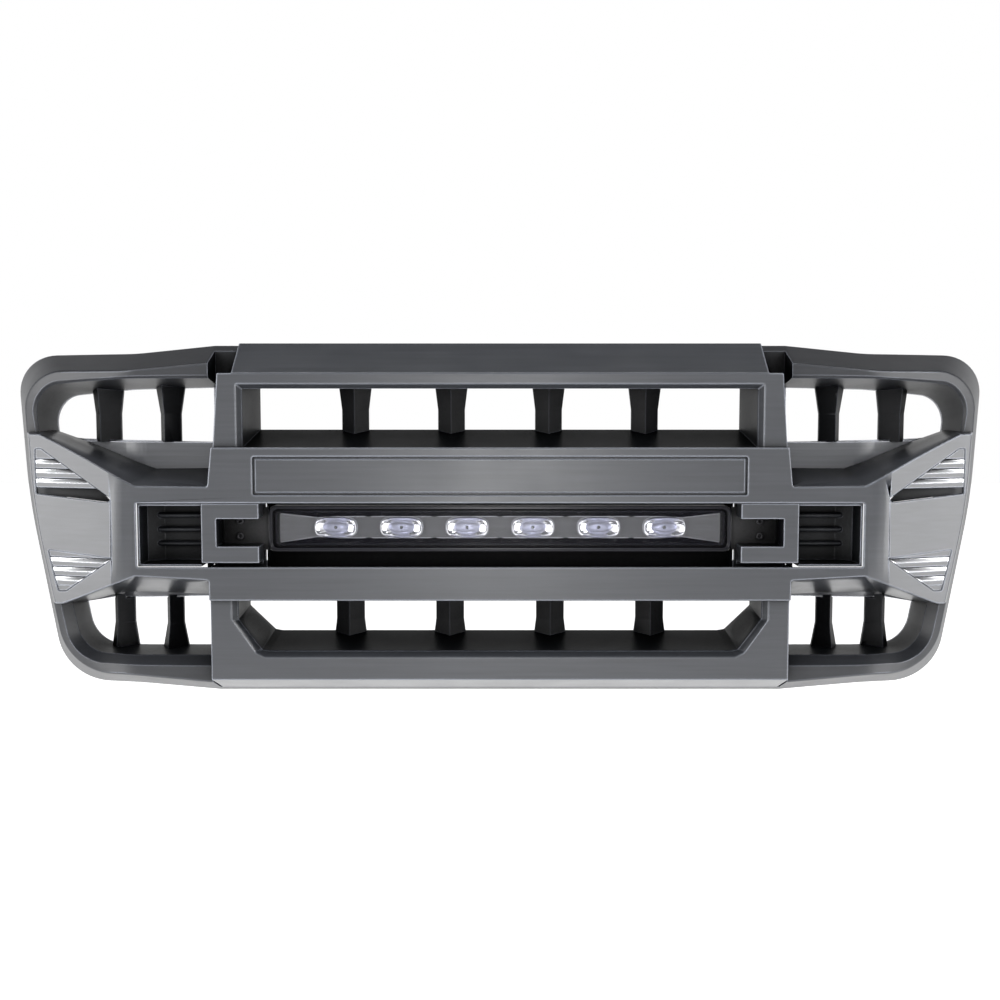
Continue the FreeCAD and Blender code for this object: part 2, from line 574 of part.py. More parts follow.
def corner_grid(row):
    """A plate with one air opening; the upper one also carries the panel below the opening."""
    inner = f"-({stile_side} + 5)"
    if row == "upper":
        base, top = "grid_split_top", "300"
        corners = [(inner, "panel_top"), ("-panel_out_x", "panel_top + 3"),
                   ("-600", "arm_tip_top + arm_tip_rise"), ("-600", "300"), (inner, "300")]
    else:
        base, top = "-300", "-grid_split_base"
        corners = [(inner, "-low_air_top"), ("-low_air_knee_x", "-low_air_top - 2"),
                   ("-low_air_out_x", "-low_air_out_top"), ("-600", "-low_air_out_top"),
                   ("-600", "-300"), (inner, "-300")]
    region = box(row + "_grid_region", "-700", f"-({stile_side})", "-20", "300", base, top)
    column = prism(row + "_air_column", outline(row + "_air_line", corners, "front", "-20"), "y", "300")
    surrounds[row] = cut(row + "_air_surround", behind("panel_off"), column)
    air = common(row + "_air", column, inner_mass)
    plate = cut(row + "_grid_plate", common(row + "_grid_all", plate_layer, corner_space, region), air)
    if row == "lower":
        return plate
    edge = f"-({stile_side} + gap)"
    panel_line = outline("panel_line", [(edge, "panel_top"), ("-panel_out_x", "panel_top + 1"),
                                        ("-panel_out_x", "panel_out_base"), ("-panel_knee_x", "panel_base"),
                                        (edge, "panel_base")])
    panel = common("corner_panel", prism("panel_column", panel_line, "y", "300"), grid_layer, inner_clear)
    return fuse("upper_grid_with_panel", plate, panel)


grids = {row: corner_grid(row) for row in ("upper", "lower")}

# Upright vanes: V sections with the nose to the front, widening at one end.


def vane(name, x, wide, slim, z_wide, z_crease, z_slim, nose, back_y, air):
    """A vane that fills the air passage's height; nose is the place of its front edge in its width."""
    sections = []
    for part, (z, across, proud) in enumerate([(z_wide, wide, "3"), (z_crease, slim, "0"),
                                               (z_slim, slim, "0")]):
        left = f"({x}) - ({across}) / 2"
        corners = [(left, back_y), (left, f"({back_y}) - vane_edge"),
                   (f"{left} + ({across}) * {nose}", f"({back_y}) - vane_depth - {proud}"),
                   (f"{left} + ({across})", f"({back_y}) - vane_edge"), (f"{left} + ({across})", back_y)]
        sections.append(outline(f"{name}_line_{part}", corners, "plan", z))
    return common(name, loft(name + "_blade", sections), air)


def swept(x):
    """How far back the front face lies at a place on the swept wing."""
    return f"(({x} - knee_x) + abs({x} - knee_x)) / 2 * sweep_y / (reach_x - knee_x)"


vanes = {}
for side, sign in (("left", "-"), ("right", "")):
    for place in ("near", "far"):
        x_up = f"{sign}vane_{place}_x"
        x_low = f"{sign}vane_low_{place}_x"
        vanes[f"upper_vane_{place}_{side}"] = vane(
            f"upper_vane_{place}_{side}", x_up, "vane_up_wide", "vane_up_slim", "duct_back_top + 6",
            "vane_up_crease", "duct_front_base", "0.5", "vane_back_y", upper_air)
        vanes[f"lower_vane_{place}_{side}"] = vane(
            f"lower_vane_{place}_{side}", x_low, "vane_low_foot", "vane_low_mid", "-low_base_z",
            "-vane_low_crease", "-low_duct_top", "0.5", "vane_back_y", lower_air)

HEIGHTS = {"up": ("corner_vane_top", "corner_vane_crease", "panel_top"),
           "low": ("-corner_vane_base", "-corner_vane_low_crease", "-corner_vane_head")}
for row, word in (("up", "upper"), ("low", "lower")):
    for place, nose in (("outer", "0.28"), ("inner", "0.3")):
        x = f"{row}_{place}_x"
        blank = vane(f"{word}_{place}_vane_blank", f"-{x}", f"{row}_{place}_wide", f"{row}_{place}_slim",
                     *HEIGHTS[row], nose, f"{plate_front} + {swept(x)}", inner_mass)
        left = cut(f"{word}_{place}_vane_left", blank, surrounds[word])
        vanes[f"{word}_{place}_vane_left"] = left
        vanes[f"{word}_{place}_vane_right"] = mirror(f"{word}_{place}_vane_right", left)

# Pieces seated in the long window of the overlay.

name_flange = box("name_flange", "-name_half - name_margin", "name_half + name_margin",
                  "shell_wall + gap / 3", "shell_wall + gap / 3 + name_plate", "name_base - name_margin",
                  "name_top + name_margin")
name_face = box("name_face", "-name_half + name_groove", "name_half - name_groove", "name_set",
                "shell_wall + name_plate / 2", "name_base + name_groove", "name_top - name_groove")
name_plate = fuse("name_plate", name_flange, name_face)

end_corners = [("-end_out_x", "end_top"), ("-end_out_x", "-end_base"), ("-end_in_x", "-end_base"),
               ("-end_in_x", "-slot_base"), ("-slot_x", "-slot_base"), ("-slot_x", "-slot_top"),
               ("-end_in_x", "-slot_top"), ("-end_in_x", "end_top")]
end_line = outline("end_line", end_corners, "front", "0.5")
end_solid = prism("end_solid", end_line, "y", "end_depth - 0.5")
end_hollow = prism("end_hollow", inset("end_inset", end_line, "thin_wall"), "y", "100")
end_face = box("end_face", "-400", "-200", "-10", "0.5 + shell_wall", "-100", "100")
end_skirt = box("end_skirt", "-end_out_x", "-end_in_x", "end_depth - thin_wall", "end_depth",
                "-window_base + gap", "-end_base + thin_wall / 2")
side_skirt = box("side_skirt", "-end_out_x", "-frame_half - gap", "end_depth - thin_wall", "end_depth",
                 "-window_base - skirt_drop", "-end_base + thin_wall / 2")
end_bracket = fuse("end_bracket", cut("end_shell", end_solid, cut("end_core", end_hollow, end_face)),
                   end_skirt, side_skirt)

vent_back = "vent_floor_y + shell_wall"
vent_corners = [("-window_half + gap", "shell_wall + gap"), ("-window_half + gap", vent_back),
                ("-vent_in_x", vent_back), ("-vent_in_x", "shell_wall + gap")]
vent_plan = outline("vent_plan", vent_corners, "plan", "-window_base + gap")
vent_block = prism("vent_block", vent_plan, "z", "window_base + window_top - 2 * gap")
vent_space = prism("vent_space", outline("vent_space_plan", [
    ("-window_half + gap + thin_wall", "-5"), ("-window_half + gap + thin_wall", "vent_step_y"),
    ("-vent_ramp_x", "vent_floor_y"), ("-vent_in_x + 5", "vent_floor_y"), ("-vent_in_x + 5", "-5")],
    "plan", "-window_base + gap + thin_wall"), "z",
    "window_base + window_top - 2 * gap - 2 * thin_wall")
ribs = []
for number in range(3):
    middle = f"-rib_mid_z + ({number} - 1) * rib_pitch"
    bar = rod(f"rib_{number}", "0", "0", "0", "rib_size / 2", "rib_out_x - vent_in_x")
    bar.Placement = FreeCAD.Placement(FreeCAD.Vector(0, 0, 0), FreeCAD.Rotation(FreeCAD.Vector(0, 1, 0), 90))
    bar.setExpression("Placement.Base.x", link("-rib_out_x"))
    bar.setExpression("Placement.Base.y", link("vent_floor_y - rib_size / 2 + 0.5"))
    bar.setExpression("Placement.Base.z", link(middle))
    ribs.append(bar)
    tip = doc.addObject("Part::Sphere", f"rib_tip_{number}")
    tip.setExpression("Radius", link("rib_size / 2"))
    tip.setExpression("Placement.Base.x", link("-rib_out_x"))
    tip.setExpression("Placement.Base.y", link("vent_floor_y - rib_size / 2 + 0.5"))
    tip.setExpression("Placement.Base.z", link(middle))
    ribs.append(tip)
vent_insert = fuse("vent_insert", cut("vent_tray", vent_block, vent_space), *ribs)


def louvre_insert(row):
    """A tray behind the pocket with level fins that come forward through it."""
    depth = "shell_wall + pocket_depth"
    tray_layer = cut(row + "_tray_layer", behind("shell_wall + gap / 3"), behind(depth))
    well_layer = cut(row + "_well_layer", behind("0"), behind(depth + " - thin_wall"))
    fin_layer = cut(row + "_fin_layer", behind("fin_set"), behind(depth + " - thin_wall / 2"))
    well = pocket(row + "_louvre_well", row, "-20", "150", "gap")
    column = common(row + "_tray_column", pocket(row + "_tray_outline", row, "-20", "150", "-thin_wall"),
                    box(row + "_tray_limit", "-pocket_out_x - tray_out_wall", "0", "-20", "150",
                        "-200", "200"))
    tray = cut(row + "_tray", common(row + "_tray_block", column, tray_layer),
               common(row + "_well", well, well_layer))
    start = "pocket_up_base + 7" if row == "upper" else "-pocket_low_base + 6"
    levels = [f"{start} + {number} * fin_pitch" for number in range(4)]
    fins = [box(f"{row}_fin_{number}", "-600", "-400", "-20", "200", level, f"{level} + fin_height")
            for number, level in enumerate(levels)]
    blades = common(row + "_fins", fuse(row + "_fin_stack", *fins), well, fin_layer)
    return fuse(row + "_louvre", tray, blades)


louvres = {row: louvre_insert(row) for row in ("upper", "lower")}

# LED light bar.


def rounded_line(name, level, x, wide, tall, corner):
    """A rounded rectangle round x at the light bar's height, from its half width and half height."""
    corners = [(f"{x} - ({wide})", f"-light_mid_z + ({tall})", corner),
               (f"{x} + ({wide})", f"-light_mid_z + ({tall})", corner),
               (f"{x} + ({wide})", f"-light_mid_z - ({tall})", corner),
               (f"{x} - ({wide})", f"-light_mid_z - ({tall})", corner)]
    return outline(name, corners, "front", level)


def bar_outline(name, level, spread="0"):
    """The light bar's rounded outline, drawn inwards by spread."""
    return rounded_line(name, level, "0", f"light_half - ({spread})", f"light_half_tall - ({spread})",
                        f"light_round - ({spread}) / 2")


def bar_layer(name, start, length, spread="0"):
    return prism(name, bar_outline(name + "_line", start, spread), "y", length)


lip = "(bezel_wide - seat_step)"
lens_seat_y = "light_front_y + lens_set + lens_thick + gasket_thick"
bezel = cut("bezel", bar_layer("bezel_block", "light_front_y", "bezel_depth"),
            bar_layer("bezel_mouth", "light_front_y - 1", "1 + lens_set + lens_thick + gasket_thick", lip),
            bar_layer("bezel_way", "light_front_y - 1", "50", "bezel_wide"))
outer_lens = bar_layer("outer_lens", "light_front_y + lens_set", "lens_thick", lip + " + gap")
gasket = cut("gasket", bar_layer("gasket_block", "light_front_y + lens_set + lens_thick", "gasket_thick",
                                 lip + " + gap"),
             bar_layer("gasket_way", "light_front_y", "50", "bezel_wide - 0.5"))


def rounded_box(name, x, wide, tall, y, length, corner):
    """A block along Y with rounded corners, centred on the light bar's height."""
    return prism(name, rounded_line(name + "_line", y, x, wide, tall, corner), "y", length)


def funnel_line(name, level, wide, tall):
    """A square-cornered rectangle, centred on the light bar."""
    half = [(f"-({wide})", f"-light_mid_z + {tall}"), (f"-({wide})", f"-light_mid_z - ({tall})")]
    return outline(name, both_sides(half), "front", level)


LAMP_PLACES = [f"({number} - 2.5) * lamp_pitch" for number in range(6)]
funnel = loft("funnel", [funnel_line("funnel_mouth", "reflector_y - 0.01", "funnel_wide", "funnel_tall"),
                         funnel_line("funnel_floor", "reflector_y + funnel_depth", "funnel_floor_wide",
                                     "funnel_floor_tall")])
lamp_holes = [rounded_box(f"lamp_hole_{number}", x, "lamp_half_wide + gap / 2", "lamp_half_tall + gap / 2",
                          "reflector_y", "30", "lamp_round") for number, x in enumerate(LAMP_PLACES)]
reflector_block = bar_layer("reflector_block", "reflector_y", "reflector_depth", "bezel_wide + gap")
reflector = cut("reflector", reflector_block, funnel, *lamp_holes)


def lamp(number, x):
    """One projector lens: a straight body with a front that narrows forward."""
    shoulder = "lamp_front_y + lamp_bevel"
    body = rounded_box(f"lamp_body_{number}", x, "lamp_half_wide", "lamp_half_tall", shoulder,
                       "lamp_length - lamp_bevel", "lamp_round")
    lines = [rounded_line(f"lamp_front_{number}_{end}", level, x, f"lamp_half_wide - {shrink}",
                          f"lamp_half_tall - {shrink}", f"lamp_round - {shrink}")
             for end, (level, shrink) in enumerate([("lamp_front_y", "lamp_bevel"), (shoulder, "0")])]
    return fuse(f"lamp_{number}", body, loft(f"lamp_dome_{number}", lines))


def group(name, bodies):
    """Identical separate solids kept together as one piece."""
    together = doc.addObject("Part::Compound", name)
    together.Links = bodies
    return together


lamps = group("lamps", [lamp(number, x) for number, x in enumerate(LAMP_PLACES)])
board_y = "lamp_front_y + lamp_length + gap + chip_thick"
chips = group("chips", [
    box(f"chip_{number}", f"{x} - chip_half", f"{x} + chip_half", f"{board_y} - chip_thick", board_y,
        "-light_mid_z - chip_half", "-light_mid_z + chip_half") for number, x in enumerate(LAMP_PLACES)])
board = box("board", "-light_half + board_in", "light_half - board_in", board_y, f"{board_y} + board_thick",
            "-light_mid_z - board_half_tall", "-light_mid_z + board_half_tall")
tub_floor_y = f"({board_y} + board_thick)"
tub = cut("tub", bar_layer("tub_block", "housing_y", f"{tub_floor_y} + housing_wall - housing_y"),
          bar_layer("tub_space", "housing_y - 1", f"{tub_floor_y} - housing_y + 1", "housing_wall"))
sink_fins = []
for number in range(5):
    z = f"-light_mid_z + ({number} - 2) * sink_pitch"
    for side, (x0, x1) in enumerate([("-light_half + 12", "-sink_gap"), ("sink_gap", "light_half - 12")]):
        sink_fins.append(box(f"sink_fin_{number}_{side}", x0, x1, f"{tub_floor_y} + housing_wall - 0.5",
                             f"{tub_floor_y} + housing_wall + sink_depth", f"{z} - sink_thick / 2",
                             f"{z} + sink_thick / 2"))
housing = fuse("housing", tub, *sink_fins)
tub_back_y = f"({tub_floor_y} + housing_wall)"


def plug_box(name, spare, start, end):
    """The harness socket's outside, or its inside when drawn in by spare."""
    return box(name, f"-plug_x - plug_half + {spare}", f"-plug_x + plug_half - {spare}", start, end,
               f"-light_mid_z - plug_half_tall + {spare}", f"-light_mid_z + plug_half_tall - {spare}")


plug_inner_y = f"{tub_back_y} + plug_floor"
socket = cut("socket", plug_box("plug_shell", "0", tub_back_y, f"{tub_back_y} + plug_depth"),
             plug_box("plug_space", "plug_wall", plug_inner_y, f"{tub_back_y} + 2 * plug_depth"))
contacts = group("contacts", [rod(f"contact_{number}", f"-plug_x {x} contact_shift", plug_inner_y,
                                  "-light_mid_z", "contact_radius", "contact_reach")
                              for number, x in enumerate(["-", "+"])])
breather = rod("breather", "breather_x", tub_back_y, "-light_mid_z", "breather_radius", "breather_thick")
tray_space = box("tray_space", "-light_half - tray_side + thin_wall", "light_half + tray_side - thin_wall",
                 "tray_front_y - 1", f"{tub_back_y} + gap", "-window_base - tray_drop + thin_wall",
                 "window_top - 1 - gap - thin_wall")
tray_hole = box("tray_hole", "-light_half + tray_hole_in", "light_half - tray_hole_in", "tray_front_y", "100",
                "-tray_hole_base", "tray_hole_top")
light_tray = cut("light_tray", box("tray_block", "-light_half - tray_side", "light_half + tray_side",
                                   "tray_front_y", f"{tub_back_y} + gap + thin_wall",
                                   "-window_base - tray_drop", "window_top - 1 - gap"),
                 tray_space, tray_hole)

ear_inner = "-light_half - gap / 3"
ear_line = outline("ear_line", [
    ("-ear_out_x", "-light_mid_z + ear_half"), ("-ear_knee_x", "-light_mid_z + ear_half"),
    ("-ear_foot_x", "-light_mid_z + ear_foot_half"), (ear_inner, "-light_mid_z + ear_foot_half"),
    (ear_inner, "-light_mid_z - ear_foot_half"), ("-ear_foot_x", "-light_mid_z - ear_foot_half"),
    ("-ear_knee_x", "-light_mid_z - ear_half"), ("-ear_out_x", "-light_mid_z - ear_half")], "front", "ear_y")
ear_flange = box("ear_flange", ear_inner + " - ear_thick", ear_inner, "ear_y",
                 "housing_y + 9", "-light_mid_z - ear_half", "-light_mid_z + ear_half")
ear_left = cut("ear_left", fuse("ear_blank", prism("ear_plate", ear_line, "y", "ear_thick"), ear_flange),
               ear_holes[0], ear_holes[1])
ear_screws = group("ear_screws", [
    fuse(f"ear_screw_{number}",
         rod(f"ear_screw_head_{number}", x, "ear_y - screw_head", z, "screw_head_radius", "screw_head"),
         rod(f"ear_screw_shank_{number}", x, "ear_y - 0.5", z, "ear_screw_radius", "12"))
    for number, (x, z) in enumerate(EAR_SCREWS)])

# Rear mounting: four bent brackets on the rim's bosses, their screws and two locating pins.


def bracket():
    """A bent strip: one end on the boss, the other on the vehicle, with a hole in each."""
    body = doc.addObject("PartDesign::Body", "bracket")
    planes = {feature.Role: feature for feature in body.Origin.OriginFeatures}
    strip = body.newObject("Sketcher::SketchObject", "bracket_strip")
    strip.AttachmentSupport = (planes["XY_Plane"], [""])
    strip.MapMode = "FlatFace"
    near, far = "boss_x - 12", "bolt_half_x + 15"
    step = f"{seat_level} - rim_back_off - tab_thick"
    bend = "(boss_x + bolt_half_x) / 2"
    corners = [(near, "rim_back_off"), (f"{bend} - ({step}) / 2", "rim_back_off"),
               (f"{bend} + ({step}) / 2", f"{seat_level} - tab_thick"), (far, f"{seat_level} - tab_thick"),
               (far, seat_level), (f"{bend} + ({step}) / 2 - tab_thick * 0.4", seat_level),
               (f"{bend} - ({step}) / 2 - tab_thick * 0.4", "rim_back_off + tab_thick"),
               (near, "rim_back_off + tab_thick")]
    points = [FreeCAD.Vector(size(x), size(y), 0) for x, y in corners]
    for i, point in enumerate(points):
        strip.addGeometry(Part.LineSegment(point, points[(i + 1) % len(points)]), False)
    for i, point in enumerate(points):
        strip.addConstraint(Sketcher.Constraint("Coincident", (i - 1) % len(points), 2, i, 1))
        for kind, value, formula in zip(("DistanceX", "DistanceY"), point, corners[i]):
            index = strip.addConstraint(Sketcher.Constraint(kind, -1, 1, i, 1, value))
            strip.setExpression(f"Constraints[{index}]", link(formula))
    doc.recompute()
    pad = body.newObject("PartDesign::Pad", "bracket_pad")
    pad.Profile = strip
    pad.Midplane = True
    pad.setExpression("Length", link("tab_tall"))
    doc.recompute()
    holes = body.newObject("Sketcher::SketchObject", "bracket_holes")
    holes.AttachmentSupport = (planes["XZ_Plane"], [""])
    holes.MapMode = "FlatFace"
    for x, radius in (("boss_x", "screw_radius + gap"), ("bolt_half_x", "bolt_hole / 2")):
        centre = FreeCAD.Vector(size(x), 0, 0)
        circle = holes.addGeometry(Part.Circle(centre, FreeCAD.Vector(0, 0, 1), size(radius)), False)
        index = holes.addConstraint(Sketcher.Constraint("DistanceX", -1, 1, circle, 3, centre.x))
        holes.setExpression(f"Constraints[{index}]", link(x))
        holes.addConstraint(Sketcher.Constraint("PointOnObject", circle, 3, -1))
        index = holes.addConstraint(Sketcher.Constraint("Radius", circle, size(radius)))
        holes.setExpression(f"Constraints[{index}]", link(radius))
    doc.recompute()
    before = body.Shape.Volume
    pocket_cut = body.newObject("PartDesign::Pocket", "bracket_pocket")
    pocket_cut.Profile = holes
    pocket_cut.Type = 1
    pocket_cut.Midplane = True
    doc.recompute()
    if body.Shape.Volume >= before:
        raise RuntimeError("the bracket's holes did not cut")
    return body


bracket_master = bracket()


def bracket_at(name, z, mirrored):
    """A copy of the bracket at one corner of the bolt pattern."""
    copy = doc.addObject("Part::Mirroring" if mirrored else "Part::Compound", name)
    if mirrored:
        copy.Source = bracket_master
        copy.Base = FreeCAD.Vector(0, 0, 0)
        copy.Normal = FreeCAD.Vector(1, 0, 0)
    else:
        copy.Links = [bracket_master]
    copy.setExpression("Placement.Base.z", link(z))
    return copy


bracket_screws = group("bracket_screws", [
    fuse(f"bracket_screw_{number}",
         rod(f"bracket_screw_head_{number}", x, "rim_back_off + tab_thick", z, "screw_head_radius",
             "screw_head"),
         rod(f"bracket_screw_shank_{number}", x, "rim_back_off - 10", z, "screw_radius - 0.1",
             "10.5 + tab_thick"))
    for number, (x, z) in enumerate(BOSS_PLACES)])
pin_start = "frame_back + gap + shell_wall"
locating_pins = group("locating_pins", [
    rod(f"locating_pin_{number}", x, pin_start, "bolt_half_z", "pin_radius",
        f"{seat_level} + pin_reach - ({pin_start})") for number, x in enumerate(["-pin_x", "pin_x"])])
push_nuts = group("push_nuts", [
    cut(f"push_nut_{number}",
        rod(f"push_nut_disc_{number}", x, f"{frame_front} + shell_wall", z, "clip_radius", "clip_thick"),
        rod(f"push_nut_hole_{number}", x, "0", z, "clip_pin_radius", "60"))
    for number, (x, z) in enumerate(PIN_PLACES)])

# Name every piece, check it, and write it.

node("outer_shell", outer_shell)
node("crossbar_overlay", overlay)
node("center_frame", center_frame)
node("upper_duct", upper_duct)
node("lower_duct", lower_duct)
node("nameplate_panel", name_plate)
for label, piece in (("light_bar_housing", housing), ("light_bar_bezel", bezel),
                     ("light_bar_lens", outer_lens), ("light_bar_tray", light_tray),
                     ("light_bar_gasket", gasket), ("light_bar_reflector", reflector),
                     ("projector_lenses", lamps), ("led_chips", chips), ("led_board", board),
                     ("connector_socket", socket), ("connector_contacts", contacts),
                     ("breather_vent", breather), ("light_bar_screws", ear_screws),
                     ("bracket_screws", bracket_screws),
                     ("locating_pins", locating_pins), ("overlay_push_nuts", push_nuts)):
    node(label, piece)
for label, left_piece in (("corner_grid_upper", grids["upper"]), ("corner_grid_lower", grids["lower"]),
                          ("end_bracket", end_bracket), ("vent_insert", vent_insert),
                          ("louvre_insert_upper", louvres["upper"]),
                          ("louvre_insert_lower", louvres["lower"]), ("light_bar_ear", ear_left)):
    node(label + "_left", left_piece)
    node(label + "_right", mirror(label + "_mirror", left_piece))
for label, blade in vanes.items():
    node(label, blade)
for row, z in (("upper", "bolt_half_z"), ("lower", "-bolt_half_z")):
    for side in ("left", "right"):
        piece = bracket_at(f"bracket_{row}_{side}", z, side == "left")
        piece.Label = f"mounting_bracket_{row}_{side}"
        piece.setExpression("Placement.Base.y", link(f"-{seat_level}"))
        NODES.append(piece)

doc.recompute()
faults = [thing.Label for thing in doc.Objects if "Invalid" in thing.State or "Error" in thing.State]
faults += [piece.Label for piece in NODES if piece.Shape.isNull() or not piece.Shape.isValid()]
if faults:
    raise RuntimeError("these pieces failed: " + ", ".join(faults))
os.makedirs("parts", exist_ok=True)
for piece in NODES:
    piece.Shape.exportStep(f"parts/{piece.Label}.step")
print(len(NODES), "pieces written")
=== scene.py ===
import json
import math
import bpy
import bmesh
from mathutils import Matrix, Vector


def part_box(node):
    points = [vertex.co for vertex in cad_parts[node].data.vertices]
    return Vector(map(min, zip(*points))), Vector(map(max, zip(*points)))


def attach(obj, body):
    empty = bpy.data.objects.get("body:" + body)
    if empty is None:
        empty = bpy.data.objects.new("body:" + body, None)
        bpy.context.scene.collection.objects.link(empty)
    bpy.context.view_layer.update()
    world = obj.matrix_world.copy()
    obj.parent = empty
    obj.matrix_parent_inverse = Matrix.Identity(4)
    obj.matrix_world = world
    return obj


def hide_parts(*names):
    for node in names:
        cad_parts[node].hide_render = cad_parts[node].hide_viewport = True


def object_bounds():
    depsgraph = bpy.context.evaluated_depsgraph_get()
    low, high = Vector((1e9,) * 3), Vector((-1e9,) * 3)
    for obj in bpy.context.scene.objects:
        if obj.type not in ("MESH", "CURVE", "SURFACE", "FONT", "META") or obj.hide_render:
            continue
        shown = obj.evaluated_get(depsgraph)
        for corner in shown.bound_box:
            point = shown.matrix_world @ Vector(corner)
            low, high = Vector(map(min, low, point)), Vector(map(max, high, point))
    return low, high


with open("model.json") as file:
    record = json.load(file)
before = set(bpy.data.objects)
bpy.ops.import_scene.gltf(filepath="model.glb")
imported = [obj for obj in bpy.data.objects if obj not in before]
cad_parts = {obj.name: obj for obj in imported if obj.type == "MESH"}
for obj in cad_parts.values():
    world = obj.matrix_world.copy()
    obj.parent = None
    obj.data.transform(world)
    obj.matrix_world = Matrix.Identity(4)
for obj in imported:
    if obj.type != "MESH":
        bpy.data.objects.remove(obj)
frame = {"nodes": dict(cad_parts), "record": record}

# Front grille. The moulded shells, vanes and brackets come from the frame, most of them with softened
# edges; the rim, the front of the light bar, the louvres, screws, pins and breather cap are built here.
# Shapes are in millimetres. Finishes and the studio are in metres.

mm = 0.001
near = 0.01  # lengths this close, in millimetres, count as the same
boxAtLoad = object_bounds()
nodes = frame["nodes"]
scene = bpy.context.scene
print("frame loaded,", len(nodes), "nodes")


# Finishes.

def addNode(tree, kind, **values):
    node = tree.nodes.new(kind)
    for key, value in values.items():
        setattr(node, key, value)
    return node


# A Principled finish; the numbers that stay the same all over are set on its own sockets.
def newFinish(name, settings):
    finish = bpy.data.materials.new(name)
    finish.use_nodes = True
    shader = finish.node_tree.nodes["Principled BSDF"]
    for socket, value in settings.items():
        shader.inputs[socket].default_value = value
    return finish, finish.node_tree, shader


def noiseAt(tree, where, scale, detail, stretch=(1, 1, 1)):
    mapping = addNode(tree, "ShaderNodeMapping")
    mapping.inputs["Scale"].default_value = stretch
    tree.links.new(where.outputs["Object"], mapping.inputs["Vector"])
    noise = addNode(tree, "ShaderNodeTexNoise")
    noise.inputs["Scale"].default_value = scale
    noise.inputs["Detail"].default_value = detail
    tree.links.new(mapping.outputs["Vector"], noise.inputs["Vector"])
    return noise.outputs["Fac"]


# A blend from the low colour to the high one; stops are the two numbers where each is reached.
def ramp(tree, source, low, high, stops=(0.3, 0.7)):
    node = addNode(tree, "ShaderNodeValToRGB")
    for element, stop, colour in zip(node.color_ramp.elements, stops, (low, high)):
        element.position = stop
        element.color = colour
    tree.links.new(source, node.inputs["Fac"])
    return node.outputs["Color"]


# A number carried from one range over to another.
def remap(tree, source, toMin, toMax, fromMin=0.0, fromMax=1.0):
    node = addNode(tree, "ShaderNodeMapRange")
    ends = {"From Min": fromMin, "From Max": fromMax, "To Min": toMin, "To Max": toMax}
    for socket, value in ends.items():
        node.inputs[socket].default_value = value
    tree.links.new(source, node.inputs["Value"])
    return node.outputs["Result"]


def addBump(tree, shader, source, strength, depth):
    bump = addNode(tree, "ShaderNodeBump")
    bump.inputs["Strength"].default_value = strength
    bump.inputs["Distance"].default_value = depth
    tree.links.new(source, bump.inputs["Height"])
    tree.links.new(bump.outputs["Normal"], shader.inputs["Normal"])


def spread(colour, share):
    return tuple(c * share for c in colour) + (1,)


# Painted shade: how open a place is to the room, from look["nookLeast"] down in a recess to 1; it darkens the
# colour and the sheen in recesses.
def paintedRecessShadeOf(tree, look):
    nook = addNode(tree, "ShaderNodeAmbientOcclusion", samples=look["samples"])
    nook.inputs["Distance"].default_value = look["nookReach"]
    return remap(tree, nook.outputs["AO"], look["nookLeast"], 1.0, look["nookFrom"], look["nookTo"])


# A painted highlight: a factor above 1 along edges and 1 on the faces beside them.
def paintedEdgeHighlightOf(tree, look):
    edgeTurn = addNode(tree, "ShaderNodeBevel", samples=look["samples"])
    edgeTurn.inputs["Radius"].default_value = look["edgeReach"]
    face = addNode(tree, "ShaderNodeNewGeometry")
    agree = addNode(tree, "ShaderNodeVectorMath", operation="DOT_PRODUCT")
    tree.links.new(edgeTurn.outputs["Normal"], agree.inputs[0])
    tree.links.new(face.outputs["Normal"], agree.inputs[1])
    return remap(tree, agree.outputs["Value"], look["edgeLift"], 1.0, look["edgeFrom"], look["edgeTo"])


# Moulded plastic: flow marks in the colour, painted shade that makes it duller and darker in a recess,
# painted highlights that make its edges lighter, with uneven gloss and the fine grain of the tool.
def moulded(name, look):
    finish, tree, shader = newFinish(name, {"IOR": look["ior"]})
    where = addNode(tree, "ShaderNodeTexCoord")
    flow = noiseAt(tree, where, look["flowScale"], look["flowDetail"], look["flowStretch"])
    colour, vary = look["colour"], look["vary"]
    tint = ramp(tree, flow, spread(colour, 1 - vary), spread(colour, 1 + vary))
    paintedRecessShade = paintedRecessShadeOf(tree, look)
    share = addNode(tree, "ShaderNodeMath", operation="MULTIPLY")
    tree.links.new(paintedRecessShade, share.inputs[0])
    tree.links.new(paintedEdgeHighlightOf(tree, look), share.inputs[1])
    shaded = addNode(tree, "ShaderNodeVectorMath", operation="SCALE")
    tree.links.new(tint, shaded.inputs[0])
    tree.links.new(share.outputs["Value"], shaded.inputs["Scale"])
    tree.links.new(shaded.outputs["Vector"], shader.inputs["Base Color"])
    tree.links.new(remap(tree, paintedRecessShade, 0.0, look["specular"]), shader.inputs["Specular IOR Level"])
    cloud = noiseAt(tree, where, look["cloudScale"], look["cloudDetail"])
    gloss = remap(tree, cloud, look["rough"] - look["roughVary"], look["rough"] + look["roughVary"])
    tree.links.new(gloss, shader.inputs["Roughness"])
    grain = noiseAt(tree, where, look["grainScale"], look["grainDetail"])
    addBump(tree, shader, grain, look["grain"], look["grainDepth"])
    return finish


